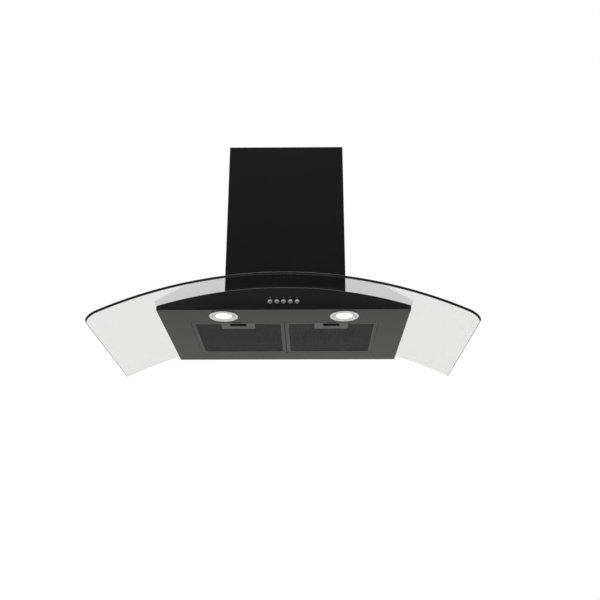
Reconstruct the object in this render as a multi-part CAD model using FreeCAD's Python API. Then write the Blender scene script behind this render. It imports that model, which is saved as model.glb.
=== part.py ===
"""Wall-mounted range hood with a curved glass canopy and a telescopic chimney, in millimetres.

Origin: the wall plane, mid-width, at the level of the canopy's flat underside.
+X runs along the hood's width, +Y points into the wall, +Z points up.
"""

import FreeCAD
import Part
import math
import os

Vec = FreeCAD.Vector
X_AXIS = Vec(1, 0, 0)
Y_AXIS = Vec(0, 1, 0)
Z_AXIS = Vec(0, 0, 1)

# ---- Driving dimensions ----

sheet = 1.0
front_sheet = 1.2
fit_gap = 0.1
past = 5.0
thin_past = 1.0
same_length = 1e-6

# Glass canopy: bent about an axis parallel to Y
glass_width = 907.0
glass_depth = 475.0
glass_thickness = 6.0
glass_corner_radius = 36.0
glass_radius = 1000.0
glass_rise = 57.3
notch_gap = 4.0
notch_corner_radius = 8.0
gasket = 1.2
gasket_inset = 4.0
gasket_width = 18.0

# Metal canopy body
canopy_width = 604.0
canopy_depth = 396.0
pan_flange = 7.0
cover_flange = 12.0
cover_flange_gap = 1.0
mount_edge_inset = 30.2
mount_inner_x = 151.0
safety_hole_radius = 3.5
safety_hole_spacing = 460.0
safety_hole_height = 11.5

# Filters
filter_opening_width = 464.0
filter_front_margin = 92.0
filter_rear_margin = 60.0
filter_thickness = 9.0
filter_wall = 0.8
filter_side_gap = 0.6
filter_front_gap = 0.5
filter_rear_gap = 1.3
filter_side_rim = 10.0
filter_front_rim = 8.0
filter_rear_rim = 15.0
filter_top_rim = 6.0
filter_tab_reach = 8.0
filter_tab_width = 24.0
filter_tab_offset = 70.0
mesh_pitch = 10.0
mesh_thickness = 0.8

# Filter handle and latch
handle_width = 84.0
handle_depth = 41.0
slot_width = 40.6
slot_depth = 19.0
slot_front_offset = 4.2
slot_corner_radius = 2.5
pocket_width = 48.0
pocket_depth = 38.0
pocket_height = 6.7
pocket_wall = 1.0
pocket_front_gap = 1.0
latch_width = 36.0
latch_plate = 1.4
latch_lip = 2.0
latch_rest_gap = 1.6
bolt_width = 16.0
bolt_height = 3.0
bolt_reach = 4.5
bolt_gap = 0.3
bolt_neck = 2.0
keeper_thickness = 0.5
keeper_length = 9.0
keeper_gap = 0.6
keeper_margin = 1.0
keeper_notch_margin = 3.0
spring_wire = 0.3
spring_radius = 1.6
spring_turns = 6
spring_roof_gap = 1.0

# Chimney and motor chamber
chimney_width = 310.0
chimney_depth = 275.0
chimney_top = 525.0
chimney_flange = 15.0
nest_gap = 1.5
upper_rear_gap = 0.5
upper_bottom = 115.0
louvre_length = 120.0
louvre_height = 4.0
louvre_pitch = 12.0
louvre_count = 5
louvre_top_margin = 30.0
chamber_gap = 6.5
chamber_front_gap = 9.5
chamber_rear_gap = 8.0
chamber_flange = 13.0
hook_slot_width = 34.0
hook_slot_height = 20.0
hook_spacing = 160.0
hook_drop = 32.0

# Wall brackets
bracket_plate = 2.0
bracket_width = 240.0
bracket_height = 44.0
bracket_hole_radius = 4.0
bracket_hole_spacing = 200.0
bracket_hole_drop = 11.0
hook_width = 30.0
hook_lip = 8.0
hook_lip_gap = 1.0
strap_plate = 1.5
strap_height = 20.0
strap_top_margin = 10.0
strap_side_length = 30.0
strap_step_gap = 0.5
strap_hole_radius = 3.0
strap_hole_spacing = 200.0
clip_plate = 1.2
clip_from_wall = 45.0
clip_drop = 27.0
clip_length = 30.0
clip_below = 14.0
clip_above = 12.0
clip_screw_tail = 3.0

# Outlet
duct_radius = 75.0
collar_wall = 1.5
collar_height = 60.0
collar_flange = 13.0
adapter_height = 40.0
damper_height = 30.0
damper_plate = 0.8
damper_gap = 0.9
damper_side_gap = 0.4
damper_web = 1.0
damper_pin_radius = 1.5
damper_pin_inset = 0.5
damper_bore_gap = 0.05
damper_knuckle_radius = 3.0
damper_knuckle_count = 4
damper_knuckle_gap = 0.6
damper_knuckle_inset = 4.0
damper_ledge = 2.0
damper_ledge_gap = 1.0

# Blower
blower_left_clearance = 11.8
blower_right_clearance = 60.0
blower_floor_gap = 6.8
scroll_wall = 2.0
scroll_depth = 110.0
scroll_tongue_gap = 8.0
scroll_growth = 33.0
scroll_tongue_angle = 60.0
scroll_tongue_lean = 3.0
scroll_steps = 16
throat_width = 90.0
throat_rise = 40.0
inlet_margin = 13.0
inlet_lip = 5.0
impeller_end_gap = 4.0
impeller_ring = 2.0
blade_count = 36
blade_thickness = 0.8
blade_lean = 32.0
blade_chord_gap = 1.3
hub_radius = 12.0
hub_length = 10.0
motor_clearance = 17.0
motor_length = 76.0
motor_start = 9.0
motor_edge_radius = 4.0
shaft_radius = 4.0
shaft_gap = 0.05
shaft_end = 2.0
nut_radius = 7.0
nut_length = 6.0
arm_width = 16.0
arm_reach = 12.0
arm_root_gap = 4.0
arm_angles = (90, 210, 330)
bracket_rim = 4.0
bracket_bore_radius = 8.0
foot_screw_tail = 1.0
capacitor_radius = 14.0
capacitor_length = 50.0
capacitor_drop = 15.0
capacitor_wall_gap = 1.0
capacitor_foot_width = 10.0
capacitor_foot_height = 25.0
capacitor_foot_inset = 5.0

# Electrics
box_height = 40.0
box_depth = 110.0
box_wall = 2.0
box_side_gap = 16.0
box_collar_gap = 7.0
gland_collar_gap = 6.75
gland_thread_radius = 6.0
gland_thread_tail = 4.0
gland_bore_radius = 3.6
gland_nut_radius = 11.0
gland_nut_height = 8.0
gland_dome_radius = 8.0
gland_dome_height = 9.0
lead_radius = 2.2
switch_width = 88.0
switch_depth = 26.0
switch_height = 32.0
switch_gap = 0.6
switch_bore_floor = 6.0

# Push buttons
button_count = 5
button_pitch = 16.1
button_height = 20.0
button_radius = 5.5
button_hole_gap = 0.3
button_collar = 1.2
button_collar_extra = 1.2
button_proud = 3.2
button_dome_radius = 10.0
button_stem_radius = 3.0
button_stem_gap = 0.06
button_stem_length = 18.0
button_travel = 3.0

# Lamps
lamp_spacing = 292.0
lamp_front_margin = 42.0
lamp_ring_radius = 35.0
lamp_ring_height = 2.2
lamp_ring_edge = 1.3
lamp_mouth_flare = 2.0
lamp_lens_radius = 20.5
lamp_lens_lip = 2.0
lamp_lens_thickness = 2.0
lamp_lens_gap = 0.5
lamp_screw_offset = 26.0
lamp_screw_head_radius = 2.9
lamp_screw_head_height = 1.0
lamp_screw_sink = 0.2
lamp_screw_grip = 6.0
lamp_screw_hole = 8.0
lamp_can_radius = 29.0
lamp_can_height = 28.0
lamp_can_wall = 1.5
lamp_can_flange = 4.0
lamp_reflector_gap = 1.0
lamp_reflector_top = 10.25

# Fasteners
screw_radius = 1.7
screw_head_radius = 3.4
screw_head_height = 2.2
glass_screw_radius = 2.5
glass_screw_head_radius = 8.0
glass_screw_head_height = 3.5
glass_screw_dome = 2.8
glass_screw_x = 200.0
glass_screw_margin = 50.0
glass_hole_radius = 4.0
stud_radius = 2.0
stud_length = 6.8
stud_nut_radius = 3.8
stud_nut_height = 3.2

# ---- Places worked out from the driving dimensions ----

arch_z = glass_rise - glass_radius
glass_top_radius = glass_radius + glass_thickness
metal_radius = glass_radius - gasket
cover_radius = metal_radius - sheet

canopy_half = canopy_width / 2
canopy_front = -canopy_depth
panel_back = canopy_front + front_sheet

opening_half = filter_opening_width / 2
opening_front = -(canopy_depth - filter_front_margin)
opening_rear = -filter_rear_margin

chimney_half = chimney_width / 2
upper_half = chimney_half - sheet - nest_gap
upper_front = -(chimney_depth - sheet - nest_gap)
upper_rear = -(sheet + upper_rear_gap)
clip_y = -clip_from_wall
clip_z = upper_bottom - clip_drop
chamber_half = upper_half - sheet - chamber_gap
chamber_inner = chamber_half - sheet
chamber_front = upper_front + sheet + chamber_front_gap
chamber_rear = -chamber_rear_gap
duct_y = (chamber_front + chamber_rear) / 2

impeller_radius = (
    2 * chamber_inner
    - blower_left_clearance
    - blower_right_clearance
    - 2 * scroll_wall
    - 2 * scroll_tongue_gap
    - scroll_growth * (1 + (180 - scroll_tongue_angle) / (360 - scroll_tongue_angle))
) / 2


def scroll_radius(degrees):
    """Radius of the scroll's inner wall, which grows from the tongue to the throat."""
    turned = (degrees - scroll_tongue_angle) / (360 - scroll_tongue_angle)
    return impeller_radius + scroll_tongue_gap + scroll_growth * turned


scroll_x = chamber_inner - blower_right_clearance - scroll_wall - scroll_radius(360)
scroll_z = glass_rise - gasket + sheet + blower_floor_gap + scroll_wall + scroll_radius(270)
scroll_front = duct_y - scroll_depth / 2
scroll_rear = duct_y + scroll_depth / 2
throat_top = scroll_z + scroll_radius(90) + scroll_wall + throat_rise
chamber_top = throat_top + adapter_height
plate_top = chamber_top + sheet
impeller_front = scroll_front + scroll_wall + impeller_end_gap
impeller_rear = scroll_rear - scroll_wall - impeller_end_gap
inlet_radius = impeller_radius - inlet_margin
motor_radius = inlet_radius - motor_clearance
motor_front = duct_y + motor_start
motor_rear = motor_front + motor_length
arm_root = inlet_radius + arm_root_gap
damper_z = plate_top + damper_height
hook_z = chamber_top - hook_drop

lamp_y = canopy_front + lamp_front_margin
lamp_xs = (-lamp_spacing / 2, lamp_spacing / 2)
lamp_head_z = -lamp_ring_height + lamp_screw_sink
mount_outer_x = canopy_half - mount_edge_inset
mount_xs = (-mount_outer_x, -mount_inner_x, mount_inner_x, mount_outer_x)
button_names = ("power", "low", "medium", "high", "light")
sides = {"left": -1, "right": 1}


# ---- Solids and helpers ----


def box(x0, x1, y0, y1, z0, z1):
    """Box between two corners, whose x values may come in either order."""
    return Part.makeBox(abs(x1 - x0), y1 - y0, z1 - z0, Vec(min(x0, x1), y0, z0))


def rod(radius, x, y, z, length, axis):
    """Solid cylinder that starts at a point and runs along an axis."""
    return Part.makeCylinder(radius, length, Vec(x, y, z), axis)


def tube(outer, inner, x, y, z, length, axis):
    """Hollow cylinder that starts at a point and runs along an axis."""
    return rod(outer, x, y, z, length, axis).cut(rod(inner, x, y, z, length, axis))


def join(*solids):
    """One solid made of several that touch or overlap."""
    return solids[0].fuse(list(solids[1:])).removeSplitter()


def rounded_box(x0, x1, y0, y1, z0, z1, radius):
    """Box whose four upright edges are rounded."""
    block = box(x0, x1, y0, y1, z0, z1)
    upright = [e for e in block.Edges if abs(e.BoundBox.ZLength - (z1 - z0)) < same_length]
    return block.makeFillet(radius, upright)


def rims_at(solid, z):
    """Round edges of a solid at a level."""
    return [e for e in solid.Edges if e.Closed and abs(e.BoundBox.ZMax - z) < same_length]


def arch_rod(radius, y0, y1):
    """Cylinder about the axis that the canopy is bent round."""
    return rod(radius, 0, y0, arch_z, y1 - y0, Y_AXIS)


def arch_band(inner, outer, half, y0, y1):
    """Curved sheet between two radii of the arch, cut off at equal distances either side."""
    low = arch_z + math.sqrt(inner**2 - half**2) - past
    slab = box(-half, half, y0, y1, low, arch_z + outer + past)
    return slab.common(arch_rod(outer, y0, y1)).cut(arch_rod(inner, y0, y1))


def arch_plate(radius, half, y0, y1, z0):
    """Flat upright plate with a straight foot and the arch as its top edge."""
    return box(-half, half, y0, y1, z0, arch_z + radius + past).common(arch_rod(radius, y0, y1))


def arch_height(radius, x):
    """Height of the arch of a given radius at a distance from mid-width."""
    return arch_z + math.sqrt(radius**2 - x**2)


def on_arch(solid, x, y):
    """Leans a solid built above the arch's crown to stand square on the arch at x."""
    placed = solid.copy()
    placed.rotate(Vec(0, 0, arch_z), Y_AXIS, math.degrees(math.asin(x / glass_radius)))
    placed.translate(Vec(0, y, 0))
    return placed


def hexagon(radius, x, y, z, length, axis):
    """Hexagonal prism, given by the radius to its corners."""
    corners = []
    for step in range(7):
        turn = math.radians(60 * step)
        corners.append(Vec(radius * math.cos(turn), radius * math.sin(turn), 0))
    prism = Part.Face(Part.makePolygon(corners)).extrude(Vec(0, 0, length))
    prism.Placement = FreeCAD.Placement(Vec(x, y, z), FreeCAD.Rotation(Z_AXIS, axis))
    return prism


def screw(x, y, z, axis, grip):
    """Pan-head screw whose head stands on the point and whose shank goes against the axis."""
    tip = Vec(x, y, z) - axis * grip
    head = rod(screw_head_radius, x, y, z, screw_head_height, axis)
    return join(head, rod(screw_radius, tip.x, tip.y, tip.z, grip, axis))


def polygon_y(points, y0, y1):
    """Prism along Y from corners in the XZ plane."""
    corners = [Vec(x, y0, z) for x, z in points]
    return Part.Face(Part.makePolygon(corners + [corners[0]])).extrude(Vec(0, y1 - y0, 0))


def lead(points):
    """Round wire along straight runs joined by tangent arcs, as large as the runs allow."""
    route = [Vec(*p) for p in points]
    edges = []
    start = route[0]
    for before, corner, after in zip(route, route[1:], route[2:]):
        arrive = (corner - before).normalize()
        leave = (after - corner).normalize()
        trim = 0.45 * min((corner - before).Length, (after - corner).Length)
        enter = corner - arrive * trim
        leave_at = corner + leave * trim
        half_turn = arrive.getAngle(leave) / 2
        radius = trim / math.tan(half_turn)
        bisector = (leave - arrive).normalize()
        middle = corner + bisector * (radius / math.cos(half_turn) - radius)
        edges.append(Part.LineSegment(start, enter).toShape())
        edges.append(Part.Arc(enter, middle, leave_at).toShape())
        start = leave_at
    edges.append(Part.LineSegment(start, route[-1]).toShape())
    path = Part.Wire(edges)
    ring = Part.Wire(Part.makeCircle(lead_radius, route[0], (route[1] - route[0]).normalize()))
    return path.makePipeShell([ring], True, True)


def save(name, *solids):
    """Writes one node, which may hold several like solids."""
    shape = solids[0] if len(solids) == 1 else Part.makeCompound(list(solids))
    shape.exportStep(os.path.join("parts", name + ".step"))


# ---- Canopy ----


def bottom_pan():
    """Flat underside with short upturned edges, two lamp holes and one filter opening."""
    inner = canopy_half - sheet
    plate = box(-canopy_half, canopy_half, panel_back, -sheet, 0, sheet)
    front = box(-inner, inner, panel_back, panel_back + sheet, sheet, pan_flange)
    rear = box(-inner, inner, -2 * sheet, -sheet, sheet, pan_flange)
    pan = join(plate, front, rear)
    for side in sides.values():
        wall = box(side * inner, side * canopy_half, panel_back, -sheet, sheet, glass_rise)
        pan = join(pan, wall.common(arch_rod(cover_radius, panel_back, -sheet)))
        middle = filter_centre(side)
        half = bolt_width / 2 + keeper_notch_margin
        notch = box(middle - half, middle + half, keeper_front(), opening_front + past, -past, past)
        pan = pan.cut(notch)
    pan = pan.cut(box(-opening_half, opening_half, opening_front, opening_rear, -past, past))
    lens_hole = lamp_lens_radius + lamp_lens_lip + lamp_lens_gap
    for x in lamp_xs:
        pan = pan.cut(rod(lens_hole, x, lamp_y, -past, 3 * past, Z_AXIS))
        for way in sides.values():
            screw_x = x + way * lamp_screw_offset
            pan = pan.cut(rod(screw_radius, screw_x, lamp_y, -past, 3 * past, Z_AXIS))
    return pan


def front_panel():
    """Upright front with an arched top edge, button holes and welded studs behind it."""
    panel = arch_plate(metal_radius, canopy_half, canopy_front, panel_back, 0)
    hole_radius = button_radius + button_hole_gap
    for x in button_xs():
        hole = rod(hole_radius, x, canopy_front - past, button_height, 3 * past, Y_AXIS)
        panel = panel.cut(hole)
    for x in mount_xs:
        z = arch_height(cover_radius, x) - cover_flange / 2
        panel = join(panel, rod(stud_radius, x, panel_back, z, stud_length, Y_AXIS))
    return panel


def rear_panel():
    """Upright back that lies against the wall, with two holes for safety screws."""
    panel = arch_plate(metal_radius, canopy_half, -sheet, 0, 0)
    for side in sides.values():
        x = side * safety_hole_spacing / 2
        panel = panel.cut(rod(safety_hole_radius, x, -past, safety_hole_height, 3 * past, Y_AXIS))
    for x in mount_xs:
        z = arch_height(cover_radius, x) - cover_flange / 2
        panel = panel.cut(rod(screw_radius, x, -past, z, 3 * past, Y_AXIS))
    return panel


def top_cover():
    """Arched sheet under the glass, turned down at front and back, open where air goes up."""
    cover = arch_band(cover_radius, metal_radius, canopy_half, panel_back, -sheet)
    lowest = pan_flange + cover_flange_gap
    for y0 in (panel_back, -2 * sheet):
        strip = arch_plate(cover_radius, canopy_half - sheet, y0, y0 + sheet, lowest)
        cover = join(cover, strip.cut(arch_rod(cover_radius - cover_flange, y0 - past, y0 + past)))
    inner = chamber_inner - chamber_flange
    front = chamber_front + sheet + chamber_flange
    rear = chamber_rear - sheet - chamber_flange
    cover = cover.cut(box(-inner, inner, front, rear, 0, glass_rise + past))
    for x in mount_xs:
        z = arch_height(cover_radius, x) - cover_flange / 2
        cover = cover.cut(rod(stud_radius, x, panel_back - past, z, 3 * past, Y_AXIS))
        cover = cover.cut(rod(screw_radius, x, -3 * sheet, z, past, Y_AXIS))
    for x, y in glass_screw_places():
        hole = rod(glass_screw_radius, 0, 0, arch_z + cover_radius - past, 3 * past, Z_AXIS)
        cover = cover.cut(on_arch(hole, x, y))
    return cover


def body_screws():
    """Pan-head screws of the canopy, chamber, motor and chimney, and nuts on the front studs."""
    pieces = []
    for x in mount_xs:
        z = arch_height(cover_radius, x) - cover_flange / 2
        nut = hexagon(stud_nut_radius, x, panel_back + sheet, z, stud_nut_height, Y_AXIS)
        pieces.append(nut.cut(rod(stud_radius, x, panel_back, z, 3 * past, Y_AXIS)))
        pieces.append(screw(x, -2 * sheet, z, -Y_AXIS, 2 * sheet))
    for x in (-chamber_inner + chamber_flange / 2, chamber_inner - chamber_flange / 2):
        for y in plate_screw_ys():
            pieces.append(screw(x, y, plate_top, Z_AXIS, 3 * sheet))
    grip = bracket_plate + scroll_wall + foot_screw_tail
    for x, z in foot_screw_places():
        pieces.append(screw(x, scroll_rear + bracket_plate, z, Y_AXIS, grip))
    for side in sides.values():
        grip = sheet + clip_screw_tail
        pieces.append(screw(side * chimney_half, clip_y, clip_z, X_AXIS * side, grip))
    return pieces


def plate_screw_ys():
    """Rows of screws along the chamber's top plate."""
    inset = sheet + chamber_flange / 2
    return (chamber_front + inset, duct_y, chamber_rear - inset)


# ---- Glass ----


def glass_screw_places():
    """Centres of the four screws that hold the glass."""
    ys = (canopy_front + glass_screw_margin, -glass_screw_margin)
    return [(x, y) for x in (-glass_screw_x, glass_screw_x) for y in ys]


def notch_block(z0, z1):
    """Space that the rear notch of the glass leaves free round the motor chamber."""
    half = chamber_half + notch_gap
    front = chamber_front - notch_gap
    rear = 2 * past + notch_corner_radius
    return rounded_box(-half, half, front, rear, z0, z1, notch_corner_radius)


def glass_canopy():
    """Bent pane with square-cut edges, rounded front corners and a notch at the wall."""
    half_angle = math.asin(glass_width / 2 / glass_top_radius)

    def point(radius, angle):
        return Vec(radius * math.sin(angle), -glass_depth, arch_z + radius * math.cos(angle))

    under = Part.Arc(*[point(glass_radius, turn * half_angle) for turn in (-1, 0, 1)])
    over = Part.Arc(*[point(glass_top_radius, turn * half_angle) for turn in (1, 0, -1)])
    right = Part.LineSegment(under.EndPoint, over.StartPoint)
    left = Part.LineSegment(over.EndPoint, under.StartPoint)
    outline = Part.Wire([under.toShape(), right.toShape(), over.toShape(), left.toShape()])
    pane = Part.Face(outline).extrude(Vec(0, glass_depth, 0))
    ahead = same_length - glass_depth
    upright = [e for e in pane.Edges if e.Length < 2 * glass_thickness and e.BoundBox.YMax < ahead]
    pane = pane.makeFillet(glass_corner_radius, upright)
    pane = pane.cut(notch_block(-past, glass_rise + 3 * past))
    low = arch_z + glass_radius - past
    hole = rod(glass_hole_radius, 0, 0, low, glass_thickness + 2 * past, Z_AXIS)
    for x, y in glass_screw_places():
        pane = pane.cut(on_arch(hole, x, y))
    return pane


def glass_gasket():
    """Rubber strip round the canopy's top, and a washer each side of the glass at each screw."""
    half = canopy_half - gasket_inset
    front = canopy_front + gasket_inset
    strip = arch_band(metal_radius, glass_radius, half, front, -gasket_inset)
    inner = half - gasket_width
    rear = -gasket_inset - gasket_width
    hole = box(-inner, inner, front + gasket_width, rear, 0, glass_rise + past)
    pieces = [strip.cut(hole).cut(notch_block(-past, glass_rise + past))]
    outer = glass_screw_head_radius
    low = arch_z + metal_radius - past
    lower = tube(outer, glass_screw_radius, 0, 0, low, 2 * past, Z_AXIS)
    lower = lower.common(arch_rod(glass_radius, -outer, outer))
    lower = lower.cut(arch_rod(metal_radius, -outer, outer))
    base = arch_z + glass_top_radius
    upper = tube(outer, glass_screw_radius, 0, 0, base, gasket, Z_AXIS)
    upper = upper.cut(arch_rod(glass_top_radius, -outer, outer))
    for x, y in glass_screw_places():
        pieces.append(on_arch(lower, x, y))
        pieces.append(on_arch(upper, x, y))
    solids = []
    for piece in pieces:
        solids.extend(piece.Solids)
    return solids


def glass_screws():
    """Domed screws through the glass into the top cover."""
    low = arch_z + cover_radius - past
    base = arch_z + glass_top_radius + gasket
    shank = rod(glass_screw_radius, 0, 0, low, base - low, Z_AXIS)
    head = rod(glass_screw_head_radius, 0, 0, base, glass_screw_head_height, Z_AXIS)
    domed = head.makeFillet(glass_screw_dome, rims_at(head, base + glass_screw_head_height))
    return [on_arch(join(domed, shank), x, y) for x, y in glass_screw_places()]


# ---- Motor chamber and outlet ----


def motor_chamber():
    """Upright box round the blower, flanged inward at both ends, hung by two slots."""
    top = chamber_top
    shell = box(-chamber_half, chamber_half, chamber_front, chamber_rear, 0, top)
    inner_front = chamber_front + sheet
    inner_rear = chamber_rear - sheet
    hollow = box(-chamber_inner, chamber_inner, inner_front, inner_rear, -past, top + past)
    shell = shell.cut(hollow)
    half = chamber_inner - chamber_flange
    front_edge = inner_front + chamber_flange
    rear_edge = inner_rear - chamber_flange
    way_through = box(-half, half, front_edge, rear_edge, -past, top + past)
    foot = arch_band(metal_radius, metal_radius + sheet, chamber_half, chamber_front, chamber_rear)
    lid = box(-chamber_half, chamber_half, chamber_front, chamber_rear, top - sheet, top)
    shell = shell.cut(arch_rod(metal_radius, chamber_front - past, chamber_rear + past))
    shell = join(shell, foot.cut(way_through), lid.cut(way_through))
    for side in sides.values():
        x = side * hook_spacing / 2
        half = hook_slot_width / 2
        slot_z = hook_z - hook_slot_height
        slot = box(x - half, x + half, chamber_rear - past, chamber_rear + past, slot_z, hook_z)
        shell = shell.cut(slot)
        hole_x = side * (chamber_inner - chamber_flange / 2)
        for y in plate_screw_ys():
            shell = shell.cut(rod(screw_radius, hole_x, y, top - past, 2 * past, Z_AXIS))
    return shell


def chamber_top_plate():
    """Lid of the chamber, with the duct hole and the cable hole."""
    plate = box(-chamber_half, chamber_half, chamber_front, chamber_rear, chamber_top, plate_top)
    low = chamber_top - past
    plate = plate.cut(rod(duct_radius - collar_wall, 0, duct_y, low, 3 * past, Z_AXIS))
    plate = plate.cut(rod(gland_thread_radius, gland_x(), duct_y, low, 3 * past, Z_AXIS))
    for x in (-chamber_inner + chamber_flange / 2, chamber_inner - chamber_flange / 2):
        for y in plate_screw_ys():
            plate = plate.cut(rod(screw_radius, x, y, low, 3 * past, Z_AXIS))
    return plate


def outlet_collar():
    """Round spigot that the duct slides over, with a ledge that the dampers rest on."""
    inner = duct_radius - collar_wall
    wall = tube(duct_radius, inner, 0, duct_y, plate_top, collar_height, Z_AXIS)
    flange = tube(duct_radius + collar_flange, inner, 0, duct_y, plate_top, collar_wall, Z_AXIS)
    ledge_z = damper_z - damper_plate / 2 - damper_ledge
    ledge = tube(inner, inner - damper_ledge, 0, duct_y, ledge_z, damper_ledge, Z_AXIS)
    gap = damper_knuckle_radius + damper_ledge_gap
    ledge = ledge.cut(box(-gap, gap, duct_y - 2 * inner, duct_y + 2 * inner, plate_top, damper_z))
    collar = wall.fuse([flange] + ledge.Solids).removeSplitter()
    return collar.cut(damper_pin())


def damper_pin():
    """Pin across the collar that both damper flaps turn on."""
    pin_half = duct_radius - damper_pin_inset
    return rod(damper_pin_radius, 0, duct_y - pin_half, damper_z, 2 * pin_half, Y_AXIS)


def damper_flap(side):
    """Half-round flap with two knuckles on the shared pin."""
    reach = duct_radius - collar_wall - damper_gap
    low = damper_z - damper_plate / 2
    top = low + damper_plate
    inner = damper_knuckle_radius + damper_side_gap
    disc = rod(reach, 0, duct_y, low, damper_plate, Z_AXIS)
    outer = side * (reach + past)
    flap = disc.common(box(side * inner, outer, duct_y - reach, duct_y + reach, low, top))
    pitch = 2 * (reach - damper_knuckle_inset) / damper_knuckle_count
    length = pitch - damper_knuckle_gap
    start = duct_y - reach + damper_knuckle_inset + damper_knuckle_gap / 2
    web_end = side * (inner + damper_web)
    for step in range(0 if side < 0 else 1, damper_knuckle_count, 2):
        y = start + step * pitch
        knuckle = rod(damper_knuckle_radius, 0, y, damper_z, length, Y_AXIS)
        web = box(side * damper_pin_radius, web_end, y, y + length, low, top)
        flap = join(flap, knuckle, web)
    bore_radius = damper_pin_radius + damper_bore_gap
    return flap.cut(rod(bore_radius, 0, duct_y - 2 * reach, damper_z, 4 * reach, Y_AXIS))


def ring_wire(radius, z):
    """Circle in four arcs that start at its corners, to match a rectangle's sides."""
    arcs = []
    for quarter in range(4):
        ends = []
        for step in (0, 45, 90):
            turn = math.radians(225 + 90 * quarter + step)
            ends.append(Vec(radius * math.cos(turn), duct_y + radius * math.sin(turn), z))
        arcs.append(Part.Arc(*ends).toShape())
    return Part.Wire(arcs)


def rectangle_wire(x0, x1, y0, y1, z):
    """Rectangle that starts at its low corner and runs with the circle's arcs."""
    corners = [Vec(x0, y0, z), Vec(x1, y0, z), Vec(x1, y1, z), Vec(x0, y1, z), Vec(x0, y0, z)]
    return Part.makePolygon(corners)


def outlet_adapter():
    """Hollow transition from the scroll's square throat to the round duct hole."""
    right = scroll_x + scroll_radius(360)
    left = right - throat_width
    wall = scroll_wall
    inner_radius = duct_radius - collar_wall
    outer = Part.makeLoft(
        [
            rectangle_wire(left - wall, right + wall, scroll_front, scroll_rear, throat_top),
            ring_wire(inner_radius + wall, chamber_top),
        ],
        True,
    )
    inner = Part.makeLoft(
        [
            rectangle_wire(left, right, scroll_front + wall, scroll_rear - wall, throat_top),
            ring_wire(inner_radius, chamber_top),
        ],
        True,
    )
    return outer.cut(inner)


# ---- Blower ----


def scroll_prism(wall, y0, y1):
    """Scroll outline grown by a wall thickness, as a prism along the fan's axis."""
    first = scroll_tongue_angle + scroll_tongue_lean * wall
    spiral = []
    for step in range(scroll_steps + 1):
        degrees = 360 - (360 - first) * step / scroll_steps
        radius = scroll_radius(degrees) + wall
        turn = math.radians(degrees)
        x = scroll_x + radius * math.cos(turn)
        spiral.append(Vec(x, y0, scroll_z + radius * math.sin(turn)))
    curve = Part.BSplineCurve()
    curve.interpolate(spiral)
    right = scroll_x + scroll_radius(360)
    top_right = Vec(right + wall, y0, throat_top)
    top_left = Vec(right - throat_width - wall, y0, throat_top)
    edges = [
        curve.toShape(),
        Part.makeLine(spiral[-1], top_left),
        Part.makeLine(top_left, top_right),
        Part.makeLine(top_right, spiral[0]),
    ]
    return Part.Face(Part.Wire(edges)).extrude(Vec(0, y1 - y0, 0))


def scroll_housing():
    """Spiral casing with its rear wall; its front is closed by the scroll cover."""
    front = scroll_front + scroll_wall
    shell = scroll_prism(scroll_wall, front, scroll_rear)
    shell = shell.cut(scroll_prism(0.0, front - past, scroll_rear - scroll_wall))
    mouth = scroll_prism(0.0, front, scroll_rear - scroll_wall)
    mouth.translate(Vec(0, 0, past))
    low = throat_top - past
    outlet = box(scroll_x, chamber_inner, front, scroll_rear, low, low + 2 * past)
    shell = shell.cut(mouth.common(outlet))
    shell = shell.cut(rod(inlet_radius, scroll_x, scroll_rear - past, scroll_z, 2 * past, Y_AXIS))
    for x, z in foot_screw_places():
        shell = shell.cut(rod(screw_radius, x, scroll_rear - past, z, 2 * past, Y_AXIS))
    return shell


def scroll_cover():
    """Front wall of the scroll, with a raised lip round the air inlet."""
    plate = scroll_prism(scroll_wall, scroll_front, scroll_front + scroll_wall)
    lip_y = scroll_front - inlet_lip
    lip = rod(inlet_radius + scroll_wall, scroll_x, lip_y, scroll_z, inlet_lip, Y_AXIS)
    hole = rod(inlet_radius, scroll_x, scroll_front - 2 * past, scroll_z, 4 * past, Y_AXIS)
    return join(plate, lip).cut(hole)


def impeller():
    """Double-sided cage rotor: a centre disc, two end rings and forward-leaning blades."""
    disc_y = duct_y - impeller_ring / 2
    pieces = [rod(impeller_radius, scroll_x, disc_y, scroll_z, impeller_ring, Y_AXIS)]
    for y in (impeller_front, impeller_rear - impeller_ring):
        ring = tube(impeller_radius, inlet_radius, scroll_x, y, scroll_z, impeller_ring, Y_AXIS)
        pieces.append(ring)
    chord = inlet_margin - blade_chord_gap
    middle = (inlet_radius + impeller_radius) / 2
    for step in range(blade_count):
        blade = box(
            -chord / 2,
            chord / 2,
            impeller_front + impeller_ring / 2,
            impeller_rear - impeller_ring / 2,
            -blade_thickness / 2,
            blade_thickness / 2,
        )
        blade.rotate(Vec(0, 0, 0), Y_AXIS, -blade_lean)
        blade.translate(Vec(middle, 0, 0))
        blade.rotate(Vec(0, 0, 0), Y_AXIS, 360 * step / blade_count)
        blade.translate(Vec(scroll_x, 0, scroll_z))
        pieces.append(blade)
    pieces.append(rod(hub_radius, scroll_x, duct_y - hub_length / 2, scroll_z, hub_length, Y_AXIS))
    rotor = pieces[0].fuse(pieces[1:])
    return rotor.cut(rod(shaft_radius, scroll_x, duct_y - past * 2, scroll_z, 4 * past, Y_AXIS))


def motor_shaft():
    """Shaft that carries the impeller and turns in the motor."""
    start = duct_y - hub_length / 2 - nut_length - shaft_end
    return rod(shaft_radius, scroll_x, start, scroll_z, motor_rear + past - start, Y_AXIS)


def impeller_nut():
    """Nut that holds the impeller on its shaft."""
    start = duct_y - hub_length / 2 - nut_length
    nut = hexagon(nut_radius, scroll_x, start, scroll_z, nut_length, Y_AXIS)
    return nut.cut(rod(shaft_radius, scroll_x, start, scroll_z, nut_length, Y_AXIS))


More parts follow.
